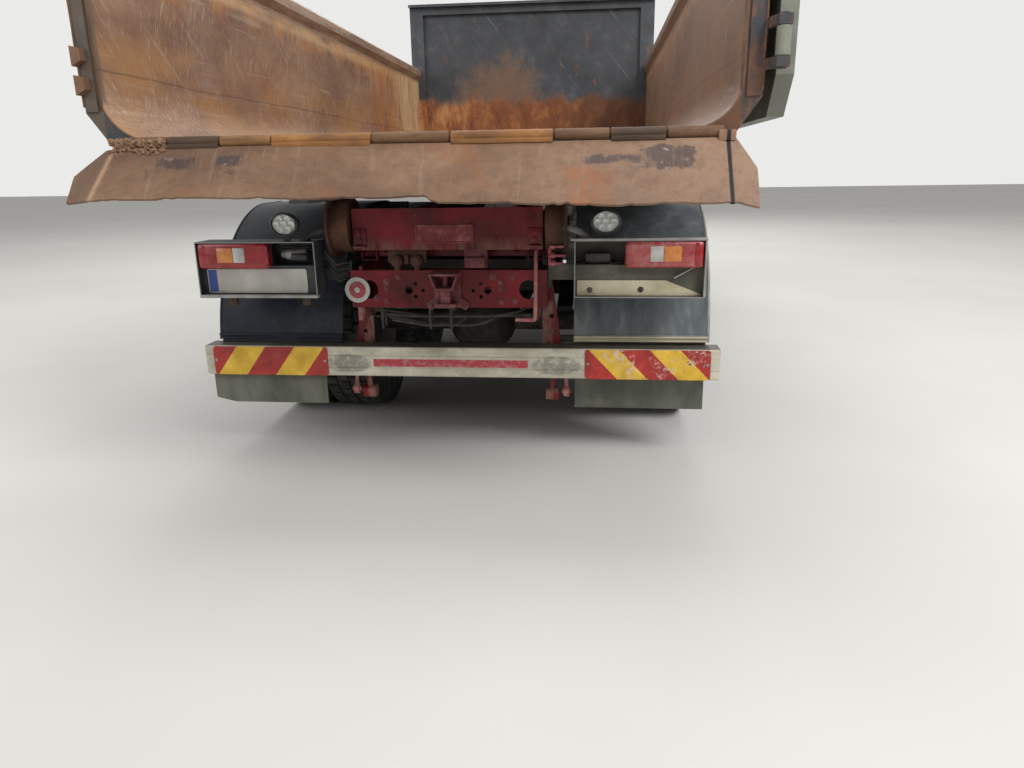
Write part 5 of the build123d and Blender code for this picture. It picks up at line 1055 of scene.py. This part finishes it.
def box_fittings():
    """What the lamp boxes hold beside the lamps: pale front edges, a cable socket, a junction block and a
    cream strip with its bolts."""
    y = BOX_REAR
    roof = slab((0.568, y - 0.004, 1.111), (1.153, y + 0.03, 1.121), 0.002)
    cheek = slab((1.144, y - 0.003, 0.866), (1.153, y + 0.02, 1.112), 0.002)
    place([roof, cheek], "right_box_edges", "chassis", RIM_PALE, "bracket_sheet")
    rail = slab((-1.151, y - 0.003, 0.858), (-0.584, y + 0.03, 0.872), 0.002)
    place(rail, "left_box_rail", "chassis", RIM_PALE, "bracket_sheet")
    socket = [drum((-0.7, y + 0.085, 1.05), 0.026, 0.1, "X", 24, 0.004),
              drum((-0.755, y + 0.085, 1.05), 0.018, 0.03, "X", 16, 0.003)]
    place(socket, "left_box_socket", "chassis", RIM_PALE, "black_plastic")
    block = [slab((0.63, y + 0.07, 1.005), (0.745, y + 0.14, 1.05), 0.008),
             slab((0.615, y + 0.09, 1.0), (0.76, y + 0.142, 1.012), 0.003)]
    place(block, "right_box_block", "chassis", LAMP_BLACK, "black_plastic")
    wires = []
    for k in range(3):
        z = 1.062 + 0.012 * k
        wires.append(pipe([(-0.79, y + 0.08, z), (-0.74, y + 0.06, z + 0.015), (-0.68, y + 0.07, z + 0.004),
                           (-0.6, y + 0.1, z + 0.01)], 0.0035, 8))
    wires.append(pipe([(0.6, y + 0.05, 1.0), (0.66, y + 0.04, 0.999), (0.72, y + 0.05, 0.998),
                       (0.79, y + 0.07, 1.01)], 0.004, 8))
    place(wires, "box_wires", "chassis", CABLE, "black_plastic")
    # cream strip with its upper right corner cut off, one strut and two bolts
    front = y + 0.036
    strip = cut(plate((0.597, front - 0.003, 0.868), (1.14, front, 0.935), 1, 0.001), (0.985, 0, 0.935),
                (0.37, 0, 0.93))
    place(strip, "cream_strip", "chassis", CREAM, "bracket_sheet")
    place(bolts([(0.653, front - 0.003, 0.893), (0.877, front - 0.003, 0.895)], "-Y", 0.0085, 0.008),
          "cream_strip_bolts", "chassis", CAST, "roller_steel")
    strut = pipe([(1.02, y + 0.03, 0.945), (1.06, y + 0.028, 0.968), (1.105, y + 0.026, 0.994)], 0.004, 8)
    place(strut, "right_box_strut", "chassis", RIM_PALE, "bracket_sheet")
    # brown brackets below the left box
    feet = [slab((x - 0.02, y + 0.05, 0.815), (x + 0.02, y + 0.075, 0.8625), 0.004) for x in (-1.02, -0.66)]
    place(feet, "left_box_brackets", "chassis", BARREL_DARK, "rusty_steel")


def guard_rims():
    """The rolled outer rim of each rear guard, from its foot over the crown."""
    # the same moulded rim and ribs on both guards: on the right the rim is painted pale as sunlit and the
    # ribs are cream with dust; on the left both stay in the dark guard plastic as painted shade
    for side, word, finish in ((-1, "left", GUARD), (1, "right", RIM_PALE)):
        middle, radius, foot = BEAM + 0.8, 0.712, 0.104
        points = [(side * 1.219, middle - radius * math.cos(t), TYRE_R + radius * math.sin(t))
                  for t in [foot + k * (math.pi / 2 - foot) / 14 for k in range(15)]]
        points.append((side * 1.219, REAR_AXLE, TYRE_R + radius))
        place(pipe(points, 0.0075, 12), f"guard_rim_{word}", "chassis", finish, "black_plastic")
        x = spread(side, 0.58, 1.215)
        ribs = [slab((x[0], BEAM + 0.073, z), (x[1], BEAM + 0.079, z + 0.0075), 0.003, 3)
                for z in (0.604, 0.622)]
        if side < 0:
            ribs.append(slab((x[0] + 0.004, BEAM + 0.083, 0.55), (x[1] - 0.004, BEAM + 0.089, 0.61), 0.002))
        place(ribs, f"guard_ribs_{word}", "chassis", CREAM if side > 0 else GUARD, "black_plastic")


def mud_flaps():
    """Rubber flaps: the right one full width below its guard, the left one under the beam with its outer
    corner gone."""
    right = slab((0.583, BEAM + 0.128, 0.2525), (1.214, BEAM + 0.136, 0.623), 0.002)
    left = slab((-1.256, BEAM + 0.04, 0.28), (-0.663, BEAM + 0.048, 0.437), 0.002)
    left = cut(left, (-1.15, 0, 0.28), (-0.22, 0, -0.975))
    place([right, left], "mud_flaps", "chassis", MUDFLAP, "mudflap_rubber", stands_for=["mudflaps"])
    clips = [slab((x - 0.02, BEAM + 0.034, 0.425), (x + 0.02, BEAM + 0.054, 0.4375), 0.002)
             for x in (-1.2, -0.96, -0.72)]
    place(clips, "mud_flap_clips", "chassis", CAST, "roller_steel")


def underrun_marks():
    """The worn red stripe along the beam."""
    stripe = plate((-0.403, BEAM - 0.0012, 0.4865), (0.361, BEAM + 0.001, 0.5245), 1, 0.002)
    place(stripe, "worn_red_stripe", "chassis", STRIPE, "red_paint")


marker_boards()
lamp_clusters()
work_lights()
reflector()
beam_fittings()
conduits()
box_fittings()
guard_rims()
mud_flaps()
underrun_marks()


# Flap, hinge barrels and the tub's edges

HINGE_Y, HINGE_Z = BEAM - 0.732, 1.528
EDGES = (-1.108, -0.905, -0.702, -0.505, -0.131, 0.155, 0.525, 0.72, 0.915, 1.112)
BARREL_R = 0.0215
# the flap falls from the hinge along this unit slope
FALL_BACK, FALL_DOWN = 0.168 / 0.265, 0.205 / 0.265


def flap_plate():
    """The thick plate below the hinge row: wings folded at both ends, a scarred lower edge and shallow
    dents."""
    bpy.ops.object.select_all(action="DESELECT")
    bpy.ops.mesh.primitive_grid_add(x_subdivisions=160, y_subdivisions=16, size=2, location=(0, 0, 0))
    sheet = bpy.context.object
    nicks = [(rng.uniform(-1.15, 1.15), rng.uniform(0.01, 0.03), rng.uniform(0.002, 0.005))
             for _ in range(40)]
    for vertex in sheet.data.vertices:
        u, down = vertex.co.x, (1 - vertex.co.y) / 2
        half = 1.148 + (0.066 if u > 0 else 0.128) * min(1.0, down / 0.44)
        x = u * half
        # the left half is worn shorter, up to a step where the edge is torn
        torn = min(1.0, max(0.0, (x - 0.085) / 0.03))
        length = 0.2235 + 0.028 * torn + 0.0165 * min(1.0, max(0.0, (x - 0.12) / 0.7))
        fold = (1.115 + 0.03 * down) if x < 0 else 1.122
        bend = max(0.0, abs(x) - fold)
        edge = sum(depth * max(0.0, 1 - abs(x - at) / reach) for at, reach, depth in nicks)
        edge = edge + 0.003 * math.sin(7 * x) + 0.002 * math.sin(23 * x)
        s = -0.005 + down * (length + 0.005 - edge - (0.17 * bend if x < 0 else 0.0))
        dent = 0.0025 * math.sin(3.1 * x + 2 * down) + 0.0015 * math.sin(11 * x) * down + 0.0015
        lift = (-0.42 if x < 0 else -0.3) * bend * (0.55 + 0.45 * down)
        groove = 0.006 * max(0.0, 1 - abs(x - 1.121) / 0.014) if x > 0 else 0.0
        out = lift - dent - groove
        # along the slope, then out along the plate's outward normal
        vertex.co = (x, BEAM - 0.756 - FALL_BACK * s - FALL_DOWN * out,
                     1.506 - FALL_DOWN * s + FALL_BACK * out)
    modify(sheet, "SOLIDIFY", thickness=0.011, offset=-1)
    return sheet


def sleeve(x0, x1):
    """One barrel of the hinge row as a tube with worn, rounded ends."""
    r, bore = BARREL_R, 0.011
    outline = [(x0, bore), (x0, r - 0.003), (x0 + 0.003, r), (x1 - 0.003, r), (x1, r - 0.003), (x1, bore)]
    return lathe(outline, (0, HINGE_Y, HINGE_Z), steps=28)


def hinge_barrels():
    """Barrels that take turns on one rod: even ones welded to the floor's edge, odd ones to the flap."""
    finishes = (BARREL_GREY, BARREL_DARK, BARREL_BROWN, BARREL_RUST, BARREL_GREY, BARREL_RUST, BARREL_GREY,
                BARREL_DARK, BARREL_GREY)
    rod = drum(((EDGES[0] + EDGES[-1]) / 2, HINGE_Y, HINGE_Z), 0.0105, EDGES[-1] - EDGES[0], "X", 24, 0.002)
    place(rod, "hinge_rod", "tipper", BARREL_DARK, "rusty_steel", stands_for=["hinge_row"])
    for k, finish in enumerate(finishes):
        piece = sleeve(EDGES[k] + 0.002, EDGES[k + 1] - 0.002)
        if k % 2:
            low, high = (HINGE_Y - 0.0265, HINGE_Z - 0.024), (HINGE_Y - 0.0145, HINGE_Z - 0.006)
        else:
            low, high = (HINGE_Y + 0.008, HINGE_Z - 0.011), (HINGE_Y + 0.0325, HINGE_Z + 0.01)
        web = slab((EDGES[k] + 0.004, *low), (EDGES[k + 1] - 0.004, *high), 0.003)
        place([piece, web], f"hinge_sleeve_{k}", "lip" if k % 2 else "tipper", finish, "rusty_steel")


def caked_soil():
    """Soil with straw in it, caked over the first barrel and the flap's upper left corner."""
    lumps = []
    for _ in range(230):
        x = rng.uniform(-1.125, -0.908)
        low_edge = 0.014 + 0.01 * math.sin(31 * x) + 0.05 * max(0.0, x + 1.03)
        reach = rng.uniform(-0.034, low_edge)
        size = rng.uniform(0.0022, 0.0075) * (1.0 if reach < 0 else 0.75)
        if reach < 0:
            turn = 0.75 + reach * 38
            spot = (x, HINGE_Y - 0.024 * math.cos(turn), HINGE_Z - 0.024 * math.sin(turn))
        else:
            spot = (x, BEAM - 0.757 - 0.634 * reach, 1.507 - 0.774 * reach)
        bpy.ops.mesh.primitive_ico_sphere_add(subdivisions=2, radius=size, location=spot)
        lump = settle(bpy.context.object)
        for vertex in lump.data.vertices:
            vertex.co.x += rng.uniform(0.2, 0.7) * (vertex.co.x - x)
            vertex.co += Vector([rng.uniform(-0.0014, 0.0014) for _ in range(3)])
        lumps.append(lump)
    place(lumps, "caked_soil", "lip", SOIL, "rusty_steel", smooth=60)
    stalks = []
    for _ in range(16):
        x, reach, turn = rng.uniform(-1.1, -0.93), rng.uniform(-0.004, 0.03), rng.uniform(-1.5, 1.5)
        y, z = BEAM - 0.762 - 0.634 * reach, 1.511 - 0.774 * reach
        half = rng.uniform(0.005, 0.018)
        dx, drop = half * math.cos(turn), half * math.sin(turn)
        stalks.append(pipe([(x - dx, y, z - drop), (x, y - 0.004, z + 0.003), (x + dx, y - 0.002, z + drop)],
                           0.001, 4))
    place(stalks, "caked_straw", "lip", STRAW, "rusty_steel")


def tub_edges():
    """Weld beads down the rear posts, and a gusset at the flap's right corner."""
    beads = []
    for side in (-1, 1):
        for x in (1.232, 1.162):
            points = [(side * (x + 0.0006 * math.sin(k * 1.7)), BED_REAR - 0.0085, 1.66 + k * 0.045)
                      for k in range(14)]
            beads.append(pipe(points, 0.0042, 8))
    place(beads, "post_weld_beads", "tipper", BARREL_GREY, "rusty_steel")
    gusset = slab((1.088, BEAM - 0.764, 1.498), (1.146, BEAM - 0.753, 1.534), 0.003)
    place(gusset, "flap_corner_gusset", "lip", FLAP, "rusty_steel")


place(flap_plate(), "flap_plate", "lip", FLAP, "rusty_steel", smooth=14, stands_for=["spill_flap"])
hinge_barrels()
caked_soil()
tub_edges()


# Cab

def pad(low, high, crown, lean=0.0):
    """A stuffed cushion: its faces swell between the seams, its corners pull in; lean slides the top back
    per metre of height."""
    obj = slab(low, high)
    edit_all()
    bpy.ops.mesh.subdivide(number_cuts=7)
    bpy.ops.object.mode_set(mode="OBJECT")
    middle = (Vector(low) + Vector(high)) / 2
    half = (Vector(high) - Vector(low)) / 2
    for vertex in obj.data.vertices:
        part = [(vertex.co[i] - middle[i]) / half[i] for i in range(3)]
        for i in range(3):
            j, k = (i + 1) % 3, (i + 2) % 3
            swell = max(0.0, 1 - part[j] ** 4) * max(0.0, 1 - part[k] ** 4)
            pull = 0.12 * part[j] ** 4 * part[k] ** 4
            sunk = math.copysign(crown * (1 - swell), part[i]) * abs(part[i])
            vertex.co[i] = middle[i] + half[i] * part[i] * (1 - pull) - sunk
        vertex.co.y -= lean * (vertex.co.z - low[2])
    return modify(obj, "SUBSURF", levels=1, render_levels=1)


def seats():
    """Two seats: a stitched cushion on a box with bellows, a back with side bolsters, and a headrest."""
    for side, word in SIDES:
        x = side * 0.73
        y0 = CAB_BACK + 0.33
        pads = []
        pads.append(pad((x - 0.15, y0 + 0.06, 1.57), (x + 0.15, y0 + 0.545, 1.705), 0.018))
        for edge in (-1, 1):
            a, b = sorted((x + edge * 0.145, x + edge * 0.24))
            pads.append(pad((a, y0 + 0.06, 1.57), (b, y0 + 0.53, 1.715), 0.02))
            pads.append(pad((a, y0 - 0.005, 1.66), (b, y0 + 0.125, 2.16), 0.022, 0.13))
        pads.append(pad((x - 0.15, y0 + 0.0, 1.66), (x + 0.15, y0 + 0.105, 1.9), 0.018, 0.13))
        pads.append(pad((x - 0.15, y0 - 0.032, 1.895), (x + 0.15, y0 + 0.075, 2.17), 0.018, 0.13))
        pads.append(pad((x - 0.13, y0 - 0.075, 2.21), (x + 0.13, y0 + 0.015, 2.39), 0.02, 0.1))
        for k, piece in enumerate(pads):
            place(piece, f"seat_pad_{word}_{k}", "cab", SEAT_CLOTH, "seat_cloth", smooth=60,
                  stands_for=["seats"] if side < 0 and k == 0 else ())
        frame_parts = [slab((x - 0.2, y0 + 0.09, 1.2905), (x + 0.2, y0 + 0.5, 1.33), 0.01)]
        for k in range(4):
            frame_parts.append(slab((x - 0.17 + 0.004 * k, y0 + 0.12, 1.33 + k * 0.045),
                                    (x + 0.17 - 0.004 * k, y0 + 0.47, 1.368 + k * 0.045), 0.016, 3))
        frame_parts.append(slab((x - 0.2, y0 + 0.07, 1.51), (x + 0.2, y0 + 0.52, 1.572), 0.014))
        frame_parts += [pipe([(x + dx, y0 - 0.05, 2.14), (x + dx, y0 - 0.055, 2.18),
                              (x + dx, y0 - 0.06, 2.24)], 0.007) for dx in (-0.06, 0.06)]
        place(frame_parts, f"seat_frame_{word}", "cab", INTERIOR, "black_plastic")


def cab_trim():
    """Mirror glass, grab handles and roof markers."""
    for side, word in SIDES:
        x0, x1 = spread(side, 1.24, 1.42)
        panes = [plate((x0, CAB_FRONT - 0.172, low), (x1, CAB_FRONT - 0.1675, high), 1, 0.02)
                 for low, high in ((2.02, 2.37), (2.39, 2.53))]
        place(panes, f"mirror_glass_{word}", "cab", MIRROR, "glass")
        grab = pipe([(side * 1.15, BEAM + 6.255, 1.52), (side * 1.185, BEAM + 6.25, 1.53),
                     (side * 1.188, BEAM + 6.25, 1.62), (side * 1.188, BEAM + 6.25, 2.0),
                     (side * 1.188, BEAM + 6.25, 2.1), (side * 1.185, BEAM + 6.25, 2.19),
                     (side * 1.15, BEAM + 6.255, 2.2)], 0.012)
        place(grab, f"grab_rail_{word}", "cab", CAB_PLASTIC, "black_plastic")
        lamp = slab((side * 0.9 - 0.045, CAB_FRONT - 0.47, 3.0),
                    (side * 0.9 + 0.045, CAB_FRONT - 0.42, 3.022), 0.008, 3)
        place(lamp, f"roof_marker_{word}", "cab", LENS_AMBER, "lamp_clear")


def head_lights():
    """Reflector bowls behind clear covers."""
    for side, word in SIDES:
        bowls = []
        for k in (0, 1):
            x = side * (0.83 + 0.13 * k)
            bowls.append(lathe([(0.0, 0.055), (0.002, 0.06), (-0.035, 0.035), (-0.045, 0.012), (-0.04, 0.012),
                                (-0.03, 0.03)], (x, BEAM + 7.487, 0.66), (0, 1, 0), 32))
        place(bowls, f"head_bowls_{word}", "chassis", CHROME_BOWL, "lamp_clear")


def wipers():
    """Two wipers resting along the foot of the windscreen."""
    def on_screen(x, z, off):
        return (x, BEAM + 7.36 - 0.2386 * (z - 2.02) + off, z)
    made = []
    for x in (-0.62, 0.12):
        made.append(drum(on_screen(x, 2.0, 0.008), 0.02, 0.03, "Y", 16, 0.004))
        made.append(pipe([on_screen(x, 2.0, 0.022), on_screen(x + 0.05, 2.03, 0.03),
                          on_screen(x + 0.3, 2.11, 0.024), on_screen(x + 0.42, 2.135, 0.018)], 0.007, 8))
        made.append(pipe([on_screen(x + 0.06, 2.09, 0.008), on_screen(x + 0.35, 2.12, 0.007),
                          on_screen(x + 0.66, 2.15, 0.008)], 0.0075, 8))
    place(made, "wipers", "cab", CAB_PLASTIC, "black_plastic")


def side_fittings():
    """Amber side markers on the guard rails, tank caps and ridged step treads."""
    for side, word in SIDES:
        markers = []
        for y in (3.55, 4.85):
            x = spread(side, 1.204, 1.214)
            markers.append(slab((x[0], BEAM + y, 0.868), (x[1], BEAM + y + 0.11, 0.902), 0.004))
        place(markers, f"side_markers_{word}", "chassis", LENS_AMBER, "lamp_clear")
        cap = lathe([(-0.012, 0.001), (-0.012, 0.048), (0.0, 0.048), (0.004, 0.058), (0.03, 0.056),
                     (0.034, 0.05), (0.034, 0.001)], (side * 0.98, BEAM + 3.42, 0.994), (0, 0, 1), 32)
        place(cap, f"tank_cap_{word}", "chassis", LAMP_BLACK, "black_plastic")
        ridges = []
        for z in (0.715, 0.995):
            for k in range(12):
                x = spread(side, 0.99, 1.175)
                y = BEAM + 6.79 + 0.031 * k
                ridges.append(slab((x[0], y, z - 0.0005), (x[1], y + 0.008, z + 0.004), 0.001, 1))
        place(ridges, f"step_treads_{word}", "chassis", GALVANISED, "dull_aluminium", smooth=0)


seats()
cab_trim()
head_lights()
wipers()
side_fittings()


# Camera at the photographed angle, soft studio light and a pale floor

# As solved from the photo's marker boards: where the lens stands, its focal length and its turns in degrees
EYE, FOCAL_MM = (0.67, -6.83, 1.418), 26.72
YAW, PITCH, ROLL = 6.25, 15.85, -0.9


def studio():
    scene = bpy.context.scene
    scene.view_settings.view_transform = "Standard"
    camera = bpy.data.objects.new("camera", bpy.data.cameras.new("camera"))
    scene.collection.objects.link(camera)
    camera.data.sensor_width = 36
    camera.data.lens = FOCAL_MM
    yaw, pitch, roll = (math.radians(turn) for turn in (YAW, PITCH, ROLL))
    look = Vector((-math.sin(yaw) * math.cos(pitch), math.cos(yaw) * math.cos(pitch), -math.sin(pitch)))
    level = Vector((math.cos(yaw), math.sin(yaw), 0))
    rise = level.cross(look)
    right = math.cos(roll) * level + math.sin(roll) * rise
    up = math.cos(roll) * rise - math.sin(roll) * level
    turn = Matrix((right, up, -look)).transposed()
    camera.matrix_world = Matrix.Translation(EYE) @ turn.to_4x4()
    scene.camera = camera

    for name, place, size, power in (("key", (7, -10, 9), 5, 1000), ("fill", (-9, -9, 6), 8, 330),
                                     ("rim", (0, 11, 10), 8, 650), ("top", (0, -1, 12), 8, 480)):
        light = bpy.data.objects.new(name, bpy.data.lights.new(name, "AREA"))
        scene.collection.objects.link(light)
        light.data.size = size
        light.data.energy = power
        light.location = place
        light.rotation_mode = "QUATERNION"
        light.rotation_quaternion = (Vector((0, 0, 1.2)) - Vector(place)).to_track_quat("-Z", "Y")

    world = bpy.data.worlds.new("studio")
    scene.world = world
    world.use_nodes = True
    tree = world.node_tree
    background = tree.nodes["Background"]
    add = partial(add_node, tree)
    seen = add("rays").node
    pick = add("larger", seen.outputs["Is Camera Ray"],
               add("larger", seen.outputs["Is Glossy Ray"], seen.outputs["Is Transmission Ray"]))
    strength = add("range", pick, 0.45, 0.93)
    background.inputs["Color"].default_value = linear("F2F2F0")
    tree.links.new(strength, background.inputs["Strength"])

    bpy.ops.mesh.primitive_plane_add(size=90, location=(0, 0, 0))
    floor = bpy.context.object
    floor.name = "studio_floor"
    material, spot, add = start_material("pale studio floor", 0.9)
    mottle = add("ramp", add("noise", spot, 0.4, 3), stops=[(0.3, "D6D4D0"), (0.7, "DEDCD8")])
    floor.data.materials.append(dressed(material, add, mottle))


studio()
